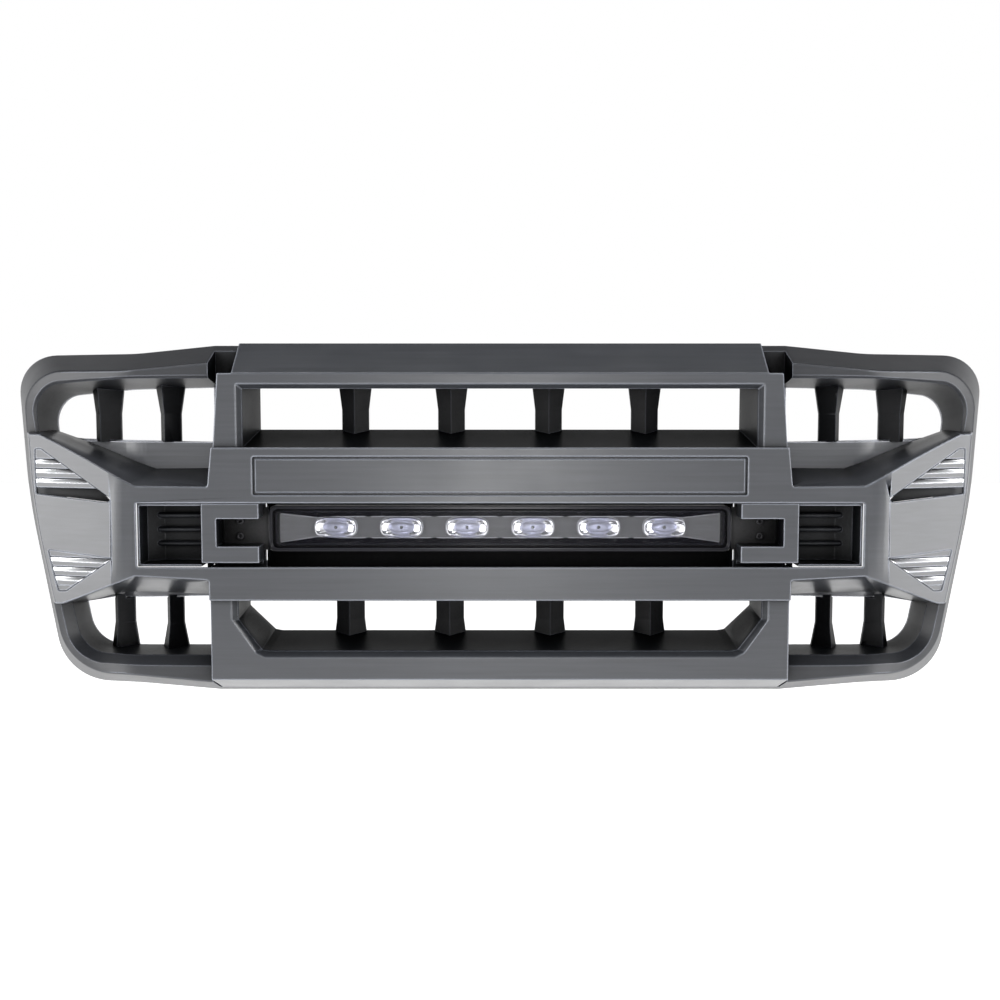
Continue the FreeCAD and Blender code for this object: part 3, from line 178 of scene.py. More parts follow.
plasticLook = {"colour": (0.028, 0.030, 0.035), "vary": 0.13, "ior": 1.5, "specular": 0.6, "rough": 0.31,
               "roughVary": 0.06, "samples": 4,
               "flowScale": 9, "flowDetail": 3, "flowStretch": (1, 12, 30),
               "cloudScale": 22, "cloudDetail": 4,
               "grainScale": 1500, "grainDetail": 2, "grain": 0.10, "grainDepth": 0.0004,
               "nookReach": 0.075, "nookFrom": 0.35, "nookTo": 0.92, "nookLeast": 0.06,
               "edgeReach": 0.0018, "edgeFrom": 0.955, "edgeTo": 0.999, "edgeLift": 8}
satinCharcoal = moulded("satinCharcoal", plasticLook)
dullBlack = moulded("dullBlack", plasticLook | {"colour": (0.006, 0.0065, 0.008), "rough": 0.4,
                                                "specular": 0.22})
pianoBlack = moulded("pianoBlack", plasticLook | {"colour": (0.003, 0.003, 0.004), "rough": 0.2,
                                                  "specular": 0.3, "nookLeast": 0.5, "roughVary": 0.04,
                                                  "grain": 0.03})
darkSteel = moulded("darkSteel", plasticLook | {"colour": (0.02, 0.02, 0.022), "rough": 0.5, "grain": 0.35})
# The rim: a darker copy of the charcoal with deeper recess shade, painted shade.
rimSatin = moulded("rimSatin", plasticLook | {"colour": (0.015, 0.016, 0.019), "rough": 0.4, "specular": 0.4,
                                              "nookReach": 0.09})
# The corner grids: a lighter copy of the charcoal with little recess shade, painted light.
panelSatin = moulded("panelSatin", plasticLook | {"colour": (0.085, 0.088, 0.097), "nookLeast": 0.75})
sealRubber = moulded("sealRubber", plasticLook | {"colour": (0.012, 0.012, 0.012), "rough": 0.7})
boardWhite = moulded("boardWhite", plasticLook | {"colour": (0.6, 0.6, 0.58), "rough": 0.35})
phosphor = moulded("phosphor", plasticLook | {"colour": (0.75, 0.62, 0.15), "rough": 0.5})


# Plated or cast metal with fine marks.
def metal(name, look):
    finish, tree, shader = newFinish(name, {"Metallic": 1.0})
    where = addNode(tree, "ShaderNodeTexCoord")
    marks = noiseAt(tree, where, look["marks"], look["detail"], look["stretch"])
    tint = ramp(tree, marks, spread(look["colour"], look["dark"]), spread(look["colour"], look["light"]))
    tree.links.new(tint, shader.inputs["Base Color"])
    gloss = remap(tree, marks, look["rough"] - look["smoother"], look["rough"] + look["rougher"])
    tree.links.new(gloss, shader.inputs["Roughness"])
    addBump(tree, shader, marks, look["bump"], look["bumpDepth"])
    return finish


metalLook = {"stretch": (1, 1, 1), "detail": 4, "dark": 0.88, "light": 1.08,
             "smoother": 0.06, "rougher": 0.1, "bump": 0.12, "bumpDepth": 0.0003}
sinkMetal = metal("sinkMetal", metalLook | {"colour": (0.07, 0.07, 0.075), "marks": 120,
                                            "stretch": (0.1, 1, 1), "rough": 0.4})
zincPlate = metal("zincPlate", metalLook | {"colour": (0.62, 0.62, 0.58), "marks": 300, "rough": 0.3})
tinnedBrass = metal("tinnedBrass", metalLook | {"colour": (0.75, 0.62, 0.35), "marks": 300, "rough": 0.25})


# Clear moulded plastic, with a faint ripple from the tool.
def clear(name, look):
    finish, tree, shader = newFinish(name, {"Base Color": look["colour"], "Alpha": look["alpha"],
                                            "IOR": look["ior"], "Specular IOR Level": look["specular"]})
    where = addNode(tree, "ShaderNodeTexCoord")
    ripple = noiseAt(tree, where, look["rippleScale"], look["rippleDetail"])
    gloss = remap(tree, ripple, look["rough"], look["rough"] + look["ripple"])
    tree.links.new(gloss, shader.inputs["Roughness"])
    return finish


clearLook = {"ior": 1.58, "rippleScale": 40, "rippleDetail": 2, "ripple": 0.03}
coverClear = clear("coverClear", clearLook | {"colour": (0.02, 0.02, 0.03, 1), "alpha": 0.08, "rough": 0.22,
                                              "specular": 0.2})

# Finishes and edge widths for the nodes kept from the frame; an edge width goes by a word in the name.

finishOf = {
    "satin_moulding": satinCharcoal, "dark_moulding": dullBlack, "black_plastic": pianoBlack,
    "smoked_lens": coverClear, "clear_optic": coverClear, "cast_aluminium": sinkMetal,
    "coated_steel": darkSteel, "zinc_steel": zincPlate, "seal_rubber": sealRubber,
    "circuit_board": boardWhite, "led_face": phosphor, "contact_brass": tinnedBrass}
edgeOf = {"crossbar_overlay": 1.6, "center_frame": 1.2, "end_bracket": 0.9, "vent_insert": 0.6,
          "nameplate": 0.5, "duct": 0.5, "corner_grid": 0.5, "vane": 0.4, "mounting_bracket": 0.5,
          "light_bar_housing": 0.6, "light_bar_ear": 0.4}
softEdge = {"join": 0.02, "flatAngle": 0.5, "cornerAngle": 24, "segments": 3}


# Rounds the moulding's edges over, so that each one catches a line of light.
def softenEdges(obj, width):
    weld = obj.modifiers.new("weld", "WELD")
    weld.merge_threshold = softEdge["join"] * mm
    flat = obj.modifiers.new("flat", "DECIMATE")
    flat.decimate_type = "DISSOLVE"
    flat.angle_limit = math.radians(softEdge["flatAngle"])
    bevel = obj.modifiers.new("edge", "BEVEL")
    bevel.width = width * mm
    bevel.segments = softEdge["segments"]
    bevel.limit_method = "ANGLE"
    bevel.angle_limit = math.radians(softEdge["cornerAngle"])
    bevel.use_clamp_overlap = "vane" in obj.name
    bevel.harden_normals = True
    bevel.miter_outer = "MITER_ARC"


for subpart in frame["record"]["subparts"]:
    obj = nodes[subpart["node"]]
    for place in obj.material_slots:
        place.material = panelSatin if "corner_grid" in obj.name else finishOf[subpart["material_slot"]]
    widths = [width for word, width in edgeOf.items() if word in obj.name]
    if widths:
        softenEdges(obj, widths[0])
print("kept nodes finished")

meshRules = {"join": 0.003, "thinnest": 0.002, "sharpAngle": 32}


# A closed mesh, in millimetres, that rides on the grille's one body.
def addPiece(name, verts, faces, finishes, stands=(), finishIndex=None, flatFaces=False):
    mesh = bpy.data.meshes.new(name)
    mesh.from_pydata([Vector(v) * mm for v in verts], [], faces)
    for finish in finishes:
        mesh.materials.append(finish)
    if finishIndex:
        mesh.polygons.foreach_set("material_index", finishIndex)
    shape = bmesh.new()
    shape.from_mesh(mesh)
    bmesh.ops.remove_doubles(shape, verts=shape.verts, dist=meshRules["join"] * mm)
    bmesh.ops.dissolve_degenerate(shape, edges=shape.edges, dist=meshRules["thinnest"] * mm)
    bmesh.ops.recalc_face_normals(shape, faces=shape.faces)
    for face in shape.faces:
        face.smooth = not flatFaces
    shape.to_mesh(mesh)
    shape.free()
    mesh.set_sharp_from_angle(angle=math.radians(meshRules["sharpAngle"]))
    obj = bpy.data.objects.new(name, mesh)
    scene.collection.objects.link(obj)
    if not flatFaces:
        level = obj.modifiers.new("level", "WEIGHTED_NORMAL")  # big faces stay flat
        level.keep_sharp = True
    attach(obj, "root")
    if stands:
        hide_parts(*stands)


# Quads between each loop of points and the next one; first is the number of the first point.
def stitch(loops, closedLoop=True, closedRow=False, first=0):
    faces = []
    count = len(loops[0])
    rows = len(loops)
    for i in range(rows if closedRow else rows - 1):
        for j in range(count if closedLoop else count - 1):
            nextRow, nextPoint = (i + 1) % rows, (j + 1) % count
            corners = (i * count + j, i * count + nextPoint, nextRow * count + nextPoint, nextRow * count + j)
            faces.append([first + k for k in corners])
    return faces


def flatten(loops):
    return [p for loop in loops for p in loop]


# One piece made of several closed shapes, each a stack of loops with a face on both ends.
def addStacks(name, stacks, finish, stands=(), flatFaces=False):
    verts, faces = [], []
    for loops in stacks:
        count = len(loops[0])
        first = len(verts)
        last = first + (len(loops) - 1) * count
        faces += stitch(loops, first=first)
        faces.append([first + k for k in range(count)])
        faces.append([last + k for k in reversed(range(count))])
        verts += flatten(loops)
    addPiece(name, verts, faces, [finish], stands, flatFaces=flatFaces)


def inMm(box):
    return [corner / mm for corner in box]


# Rim: a channel section swept round a rounded ring, open at the back. In the outlines a corner's third
# value is its radius. Rows of the outer edge are depth and shift across the band, in edge rounds.

rimMould = {
    "seat": 90, "wall": 3, "front": 22, "back": 80, "drawDepth": 130,
    "kneeX": 416, "kneeSoft": 12.6, "sweepSlope": 58 / 204, "sweepRounds": 4,
    "centreHalf": 321.5, "centreFront": 61.8, "centreChamfer": 1.0, "centreRound": 0.6, "ductTop": 147,
    "edgeRound": 1.6, "edgeRows": [(2, 0), (1, 0.12), (0.35, 0.45), (0, 1.2)],
    "chamferTop": 2.6, "chamferLow": 10, "chamferDepth": 0.9,
    "bandEdge": 0.8, "bandDrop": 0.25, "footIn": 0.5, "footDrop": 0.8,
    "arcSteps": 14, "centreSteps": 6, "cornerSteps": [1, 26, 6, 6, 26],
    "outerFront": [(325, 161), (513, 145, 48), (508, 12, 700), (474, -164.5, 66), (325, -178.5)],
    "outerRear": [(325, 208), (570, 181, 48), (560, 12, 700), (522, -209, 66), (325, -226)],
    "innerFront": [(325, 157), (532, 158, 30), (511, 12, 700), (474, -158.5, 36), (325, -158.5)],
    "innerRear": [(325, 133.6), (517, 126, 30), (507, 12, 700), (474, -153.5, 36), (325, -153.5)]}


# How far the swept wing has gone back at this distance from the middle.
def sweepBack(x):
    past = abs(x) - rimMould["kneeX"]
    soft = rimMould["kneeSoft"]
    if past < -soft:
        return 0.0
    if past > soft:
        return past * rimMould["sweepSlope"]
    return (past + soft) ** 2 * rimMould["sweepSlope"] / (4 * soft)


# Points along corners in the X-Z plane, with arcSteps in each arc and runSteps up to each corner.
def roundedRun(corners, arcSteps, runSteps):
    places = [Vector((c[0], c[1])) for c in corners]
    points = []
    for i, corner in enumerate(corners):
        if len(corner) < 3:
            run = [places[i]]
        else:
            back = (places[i - 1] - places[i]).normalized()
            ahead = (places[i + 1] - places[i]).normalized()
            half = back.angle(ahead) / 2
            centre = places[i] + (back + ahead).normalized() * (corner[2] / math.sin(half))
            enter = places[i] + back * (corner[2] / math.tan(half)) - centre
            leave = places[i] + ahead * (corner[2] / math.tan(half)) - centre
            turn = enter.angle_signed(leave)
            run = []
            for k in range(arcSteps + 1):
                angle = -turn * k / arcSteps
                run.append(centre + Vector((enter.x * math.cos(angle) - enter.y * math.sin(angle),
                                            enter.x * math.sin(angle) + enter.y * math.cos(angle))))
        if points:
            start = points[-1]
            for k in range(1, runSteps[i]):
                points.append(start.lerp(run[0], k / runSteps[i]))
        points += run
    return points


def halfRing(key):
    corners = rimMould[key]
    half = rimMould["centreHalf"]
    inside = half + rimMould["wall"]
    top, base = corners[0][1], corners[-1][1]
    line = [(0, top), (half, top), (half, top), (inside, top), (inside, top)] + corners
    line += [(inside, base), (inside, base), (half, base), (half, base), (0, base)]
    centre = rimMould["centreSteps"]
    runSteps = [1, centre, 1, 1, 1] + rimMould["cornerSteps"] + [1, 1, 1, 1, centre]
    return roundedRun(line, rimMould["arcSteps"], runSteps)


def buildRim():
    look = rimMould
    wall, back = look["wall"], look["back"]
    rings = {key: halfRing(key) for key in ("outerFront", "outerRear", "innerFront", "innerRear")}
    outline = rings["outerFront"]

    def at(which, i, depth):
        return rings[which + "Front"][i].lerp(rings[which + "Rear"][i], depth / look["drawDepth"])

    # The sweep goes by the place and the place by the depth, so the depth is found in a few rounds.
    def levelAt(which, i, off):
        depth = off
        for _ in range(look["sweepRounds"]):
            depth = off + sweepBack(at(which, i, depth).x)
        return depth

    # The first and the last point at this distance from the middle.
    def endsAt(x):
        found = [i for i, place in enumerate(outline) if abs(place.x - x) < near]
        return found[0], found[-1]

    loops = []
    skinEnds = endsAt(look["centreHalf"])
    wallEnds = endsAt(look["centreHalf"] + wall)
    for i in range(len(outline)):
        centreSkin = i <= skinEnds[0] or i >= skinEnds[1]
        centreWall = i <= wallEnds[0] or i >= wallEnds[1]
        front = look["centreFront"] if centreSkin else look["front"]
        inFront = (look["centreFront"] if centreWall else look["front"]) + wall
        low = outline[i].y < 0
        edge = look["centreRound" if centreSkin else "edgeRound"]
        chamfer = look["centreChamfer" if centreSkin else "chamferLow" if low else "chamferTop"]

        # On the outer or inner side at this depth, moved shift across the band.
        def point(which, off, shift=0.0):
            depth = levelAt(which, i, off)
            here = at(which, i, depth)
            other = at("inner" if which == "outer" else "outer", i, depth)
            if centreSkin and not low:
                inner = here if which == "inner" else other
                inner.y = max(inner.y, look["ductTop"])
            here = here + (other - here).normalized() * shift
            return (here.x, depth - look["seat"], here.y)

        foot = front + chamfer * look["chamferDepth"]
        inFoot = inFront + chamfer * look["chamferDepth"]
        loop = [point("outer", back)]
        loop += [point("outer", front + depth * edge, shift * edge) for depth, shift in look["edgeRows"]]
        loop += [point("inner", front, chamfer + look["bandEdge"]),
                 point("inner", front + look["bandDrop"], chamfer),
                 point("inner", foot, look["footIn"]), point("inner", foot + look["footDrop"]),
                 point("inner", back), point("inner", back, wall), point("inner", inFoot, wall),
                 point("inner", inFront, wall + chamfer), point("outer", inFront, wall + edge),
                 point("outer", back, wall)]
        loops.append(loop)
    mirrored = [[(-x, y, z) for x, y, z in loop] for loop in loops[1:-1]]
    ring = loops + mirrored[::-1]
    addPiece("rim", flatten(ring), stitch(ring, closedRow=True), [rimSatin],
             ["outer_shell"])


buildRim()


# Turned pieces: bosses, screws, pins and the breather's cap. Rows are depth and radius, and a third value
# where the ring is a polygon. Pin rows go from the pin's foot or from its tip. The cap's edge rows are
# shares of its thickness and steps in from its radius; its dish rows are depths below its face and radii.

fastener = {"bossX": 262, "bossZ": 172, "bossFoot": -27.2,
            "boss": [(0, 6.7), (1.5, 5.8), (16.4, 5.5), (17, 4.9), (17, 2.3), (16.5, 2.0), (3, 2.0)],
            "head": [(2.4, 0.4, 6), (0.9, 2.1, 6), (0.35, 2.1, 6), (0, 2.35), (0, 2.9), (0.25, 3.65),
                     (0.8, 4.08), (1.4, 4.2), (1.9, 4.2), (2.4, 4.0)],
            "shankFrom": 2.4, "shank": 1.9, "threads": 9, "threadPitch": 1,
            "thread": [(0.5, 1.9), (0.9, 1.62)],
            "pinX": 200, "pinFoot": [(0, 3.6), (0.4, 4.0)],
            "pinTip": [(-8.5, 4.0), (-8.2, 3.5), (-7.2, 3.5), (-6.9, 4.0), (-3, 4.0), (-0.6, 2.5), (0, 1.8)],
            "capEdge": [(0, 0), (0.7, 0), (0.9, 0.5), (1, 1.1)],
            "capDish": [(0, 3.2), (0.6, 3.0), (0.6, 1.2), (0.1, 0.9)]}


# One turned piece at each of the places, its axis along Y.
def turned(name, profile, places, finish, stands=(), steps=36):
    stacks = []
    for x, y, z in places:
        rings = []
        for depth, radius, *sides in profile:
            ring = []
            for k in range(steps):
                angle = 2 * math.pi * k / steps
                reach = radius
                if sides:
                    part = 2 * math.pi / sides[0]
                    reach *= math.cos(part / 2) / math.cos((angle % part) - part / 2)
                ring.append((x + reach * math.cos(angle), y + depth, z + reach * math.sin(angle)))
            rings.append(ring)
        stacks.append(rings)
    addStacks(name, stacks, finish, stands)


def buildScrews():
    size = fastener
    corners = [(sx * size["bossX"], sz * size["bossZ"]) for sx in (-1, 1) for sz in (-1, 1)]
    turned("rimBosses", size["boss"], [(x, size["bossFoot"], z) for x, z in corners], satinCharcoal,
           ["outer_shell"])
    screw = size["head"] + [(size["shankFrom"], size["shank"])]
    for turn in range(size["threads"]):
        start = size["shankFrom"] + turn * size["threadPitch"]
        screw += [(start + depth, radius) for depth, radius in size["thread"]]
    backwards = [(-depth, *rest) for depth, *rest in screw]
    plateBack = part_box("bracket_screws")[1].y / mm
    turned("bracketScrews", backwards, [(x, plateBack, z) for x, z in corners], zincPlate,
           ["bracket_screws"])
    low, high = inMm(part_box("light_bar_screws"))
    reach = max(row[1] for row in size["head"])
    places = [(x, low.y, z) for x in (low.x + reach, high.x - reach) for z in (low.z + reach, high.z - reach)]
    turned("lightBarScrews", screw, places, darkSteel, ["light_bar_screws"])


def buildPins():
    low, high = inMm(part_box("locating_pins"))
    long = high.y - low.y
    pin = fastener["pinFoot"] + [(long + depth, radius) for depth, radius in fastener["pinTip"]]
    places = [(side * fastener["pinX"], low.y, (low.z + high.z) / 2) for side in (-1, 1)]
    turned("locatingPins", pin, places, zincPlate, ["locating_pins"])


def buildBreather():
    low, high = inMm(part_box("breather_vent"))
    middle, radius, thick = (low + high) / 2, (high.x - low.x) / 2, high.y - low.y
    cap = [(share * thick, radius - step) for share, step in fastener["capEdge"]]
    cap += [(thick - depth, ring) for depth, ring in fastener["capDish"]]
    turned("breatherCap", cap, [(middle.x, low.y, middle.z)], pianoBlack, ["breather_vent"])


buildScrews()
buildPins()
buildBreather()
print("rim and fasteners built")


# Light bar: bezel and clear cover. Bezel rows are steps in from the outline and depths from the front;
# each step in takes insetRound of its width off the corner radius.

lightBar = {"round": 8, "insetRound": 0.5, "loopSteps": 9, "lensInset": 4.3, "lensEdge": 0.5,
            "bezel": [(0, 0.8), (0.25, 0.25), (0.8, 0), (1.9, 0), (2.15, 0.3), (2.15, 1.3), (2.45, 1.6),
                      (3.6, 1.6), (4.0, 2.0), (4.0, 8.2), (7, 8.2)]}
barLow, barHigh = inMm(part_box("light_bar_bezel"))
barX, barZ = (barHigh.x - barLow.x) / 2, (barHigh.z - barLow.z) / 2
barMidZ = (barHigh.z + barLow.z) / 2
quarters = [(1, 1, 0), (-1, 1, 90), (-1, -1, 180), (1, -1, 270)]  # the side in X and Z, and the first angle


# A rounded rectangle round the light bar's middle.
def roundedLoop(halfX, halfZ, radius, y):
    steps = lightBar["loopSteps"]
    loop = []
    for sx, sz, start in quarters:
        for k in range(steps + 1):
            angle = math.radians(start + 90 * k / steps)
            loop.append((sx * (halfX - radius) + radius * math.cos(angle), y,
                         barMidZ + sz * (halfZ - radius) + radius * math.sin(angle)))
    return loop


# Loops of the light bar's outline, each one drawn in and set at its own depth.
def barSweep(profile):
    return [roundedLoop(barX - inset, barZ - inset, lightBar["round"] - inset * lightBar["insetRound"], y)
            for inset, y in profile]


def buildLightBar():
    front, back = barLow.y, barHigh.y
    rows = [(inset, front + depth) for inset, depth in lightBar["bezel"]]
    loops = barSweep([(rows[0][0], back)] + rows + [(rows[-1][0], back)])
    addPiece("lightBezel", flatten(loops), stitch(loops, closedRow=True), [pianoBlack],
             ["light_bar_bezel"])
    low, high = inMm(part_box("light_bar_lens"))
    inset, edge = lightBar["lensInset"], lightBar["lensEdge"]
    cover = barSweep([(inset, high.y), (inset, low.y + edge), (inset + edge, low.y)])
    addStacks("lightCover", [cover], coverClear, ["light_bar_lens"])


# Lamps: bright fluted bowls, tinted eyes with a dark pupil, and clear domed fronts. Rows are shares of the
# lamp's half width and half height, depth behind the front, and for the bowl how far flutes are drawn in.
# An outline of 2 is an ellipse, and more is nearer to a rectangle.

lamp = {"count": 6, "pitch": 74, "half": 23.5, "tall": 11.7, "bowlBack": 0.2,
        "outline": 2.9, "eyeOutline": 2.1, "dotOutline": 2.0,
        "bowl": [(1.0, 1.0, 1.2), (0.985, 0.985, 0.4), (0.95, 0.95, 0.2), (0.90, 0.90, 1.6, 0.02),
                 (0.82, 0.82, 3.0, 0.05), (0.68, 0.68, 4.6, 0.06), (0.56, 0.56, 5.6, 0.03),
                 (0.40, 0.40, 6.2)],
        "eye": [(0.62, 0.62, 5.6), (0.60, 0.60, 4.3), (0.52, 0.52, 3.3), (0.38, 0.38, 2.6),
                (0.18, 0.2, 2.2)],
        "dot": [(0.085, 0.17, 2.6), (0.085, 0.17, 1.8), (0.05, 0.1, 1.6)],
        "front": [(0.975, 0.975, 1.0), (0.94, 0.94, 0.45), (0.8, 0.8, 0.2), (0.5, 0.5, 0.05),
                  (0.15, 0.15, 0)]}
lampPlaces = [(k - (lamp["count"] - 1) / 2) * lamp["pitch"] for k in range(lamp["count"])]


# A rectangle with as many points as a rounded loop, corners included.
def squareLoop(halfX, halfZ, y, middleX):
    steps = lightBar["loopSteps"]
    loop = []
    for sx, sz, start in quarters:
        for k in range(steps + 1):
            share = k / steps
            toX, toZ = min(1.0, 2 * share), min(1.0, 2 - 2 * share)
            if start in (0, 180):
                toX, toZ = toZ, toX
            loop.append((middleX + sx * halfX * toX, y, barMidZ + sz * halfZ * toZ))
    return loop


# A barrel outline: between an ellipse and a rectangle, with the same count of points as a rounded loop.
def barrelLoop(halfX, halfZ, y, middleX, outline, flute=0.0):
    loop = []
    count = 4 * (lightBar["loopSteps"] + 1)
    for k in range(count):
        angle = 2 * math.pi * (k + 0.5) / count
        c, s = math.cos(angle), math.sin(angle)
        pull = 1 - flute * (k // 2 % 2)  # every other pair of points is drawn in, as flutes
        loop.append((middleX + halfX * math.copysign(abs(c) ** (2 / outline), c) * pull, y,
                     barMidZ + halfZ * math.copysign(abs(s) ** (2 / outline), s) * pull))
    return loop


# Funnel: black, with grey ends and a grey floor that the six lamps come through.

funnel = {"round": 4, "lipWide": 0.6, "lipTall": 0.4, "mouthHalf": 246.5, "mouthTall": 18, "floorHalf": 206,
          "floorTall": 12.4, "floorY": -45, "lampRoom": 0.15}


def buildFunnel():
    size = funnel
    verts, faces, marks = [], [], []
    grey, black = 0, 1

    def add(loops, mark):
        faces.extend(stitch(loops, first=len(verts)))
        verts.extend(flatten(loops))
        marks.extend([mark] * (len(faces) - len(marks)))

    low, high = inMm(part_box("light_bar_reflector"))
    halfX, halfZ = (high.x - low.x) / 2, (high.z - low.z) / 2
    mouthX, mouthZ, lipWide = size["mouthHalf"], size["mouthTall"], size["lipWide"]
    outside = [roundedLoop(halfX, halfZ, size["round"], y) for y in (high.y, low.y)]
    lip = roundedLoop(mouthX + lipWide, mouthZ + lipWide, size["round"], low.y)
    mouth = roundedLoop(mouthX, mouthZ, size["round"], low.y + size["lipTall"])
    add(outside + [lip, mouth], black)
    floorEdge = squareLoop(size["floorHalf"], size["floorTall"], size["floorY"], 0)
    add([mouth, floorEdge], black)
    count = len(mouth)
    for k in range(count):
        middle = (floorEdge[k][0] + floorEdge[(k + 1) % count][0]) / 2
        if abs(middle) > size["floorHalf"] - near:
            marks[k - count] = grey
    holeX, holeZ = lamp["half"] + size["lampRoom"], lamp["tall"] + size["lampRoom"]
    for x in lampPlaces:
        square = squareLoop(lamp["pitch"] / 2, size["floorTall"], size["floorY"], x)
        hole = [barrelLoop(holeX, holeZ, y, x, lamp["outline"]) for y in (size["floorY"], high.y)]
        add([square] + hole, grey)
    addPiece("lampFunnel", verts, faces, [funnelGrey, pianoBlack],
             ["light_bar_reflector"], marks)


def buildLamps():
    low, high = inMm(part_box("projector_lenses"))

    # One stack of loops at each of the six lamps.
    def stacksOf(rows, outline):
        return [[barrelLoop(lamp["half"] * shareX, lamp["tall"] * shareZ, low.y + depth, x, outline, *flute)
                 for shareX, shareZ, depth, *flute in rows] for x in lampPlaces]

    bowlRows = [(1.0, 1.0, high.y - low.y - lamp["bowlBack"])] + lamp["bowl"]
    addStacks("lampBowls", stacksOf(bowlRows, lamp["outline"]), mirrorBowl,
              ["projector_lenses"], flatFaces=True)
    addStacks("lampEyes", stacksOf(lamp["eye"], lamp["eyeOutline"]), violetEye)
    addStacks("lampDots", stacksOf(lamp["dot"], lamp["dotOutline"]), pianoBlack)
    addStacks("lampFronts", stacksOf(lamp["front"], lamp["outline"]), lampClear)


funnelGrey = moulded("funnelGrey", plasticLook | {"colour": (0.085, 0.087, 0.096), "rough": 0.42,
                                                  "nookLeast": 0.8})
mirrorBowl = metal("mirrorBowl", metalLook | {"colour": (0.93, 0.93, 0.97), "marks": 60, "rough": 0.12})
violetEye = metal("violetEye", metalLook | {"colour": (0.26, 0.27, 0.37), "marks": 90, "rough": 0.3})
lampClear = clear("lampClear", clearLook | {"colour": (0.9, 0.92, 1.0, 1), "alpha": 0.07, "rough": 0.05,
                                            "specular": 0.5})
buildLightBar()
buildFunnel()
buildLamps()
print("light bar built")


# Louvres: flush strips with scooped slots that deepen towards the middle. A strip row is the line that it
# is measured from, the height over that line and the depth; a scoop row adds its share of the scoop.

louvre = {"slots": 3, "pitch": 10.6, "strip": 5.4, "slit": 1.3, "setBack": 1.2, "base": 13.5, "gap": 0.3,
          "scoopDepth": 4.6, "slitDepth": 9.0, "steps": 22, "fade": 0.12, "growth": 0.7,
          "stripRows": [("foot", 0, 0.5), ("foot", 0.5, 0), ("top", -0.4, 0)],
          "scoopRows": [("top", 0, 0.15, 0), ("top", 1.2, 0.3, 0.3),
                        ("slit", -1.0, 0.3, 0.75), ("slit", 0, 0.3, 1)],
          "slitRows": [("slit", 0.1, 0.6), ("next", -0.25, 0.6)],
          "footDrop": 0.4, "footSlit": 0.3, "footSlitDrop": 1.0,
          "headRise": 0.5, "headLand": 0.2, "headDrop": 0.1,
          "upper": {"edge": [(24.8, 516), (74.5, 516)], "inner": [(17, 430), (21, 426), (74.5, 509)],
                    "foot": [(17, 430), (24.8, 516)], "firstStrip": 31.8},
          "lower": {"edge": [(-83, 492), (-38, 503)], "inner": [(-83, 483), (-45, 426), (-38, 500)],
                    "foot": [(-83, 483), (-83, 492)], "firstStrip": -77}}


# The distance from the middle to a pocket's edge at this height.
def edgeAt(line, z):
    for (z0, x0), (z1, x1) in zip(line, line[1:]):
        if z <= z1:
            return x0 + (x1 - x0) * (max(z, z0) - z0) / (z1 - z0)
    return line[-1][1]


# The height of a pocket's sloping foot at this distance from the middle.
def footAt(row, x):
    (tipZ, tipX), (sideZ, sideX) = louvre[row]["foot"]
    return tipZ + (sideZ - tipZ) * (x - tipX) / (sideX - tipX) + louvre["gap"]


# Rows from the pocket's foot to its head: height, depth that stays, depth that grows inwards.
def louvreProfile(row):
    spec, slitDepth = louvre[row], louvre["slitDepth"]
    low = spec["inner"][0][0] + louvre["gap"]
    high = spec["edge"][-1][0] - louvre["gap"]
    rows = [(low, louvre["footDrop"], 0.0)]
    if row == "upper":  # the slit below the first strip
        rows += [(low + louvre["footSlit"], louvre["footSlitDrop"], slitDepth),
                 (spec["firstStrip"] - louvre["footDrop"], louvre["footSlitDrop"], slitDepth)]
    lines = {"next": spec["firstStrip"]}
    for number in range(louvre["slots"] + 1):
        lines["foot"] = lines["next"]
        lines["top"] = lines["foot"] + louvre["strip"]
        lines["next"] = lines["foot"] + louvre["pitch"]
        lines["slit"] = lines["next"] - louvre["slit"]
        rows += [(lines[line] + rise, stays, 0.0) for line, rise, stays in louvre["stripRows"]]
        if number < louvre["slots"]:
            rows += [(lines[line] + rise, stays, share * louvre["scoopDepth"])
                     for line, rise, stays, share in louvre["scoopRows"]]
            rows += [(lines[line] + rise, stays, slitDepth) for line, rise, stays in louvre["slitRows"]]
    rows += [(min(lines["top"] + louvre["headRise"], high - louvre["headLand"]), 0.0, 0.0),
             (high, louvre["headDrop"], 0.0)]
    return [r for r in rows if low <= r[0] <= high]


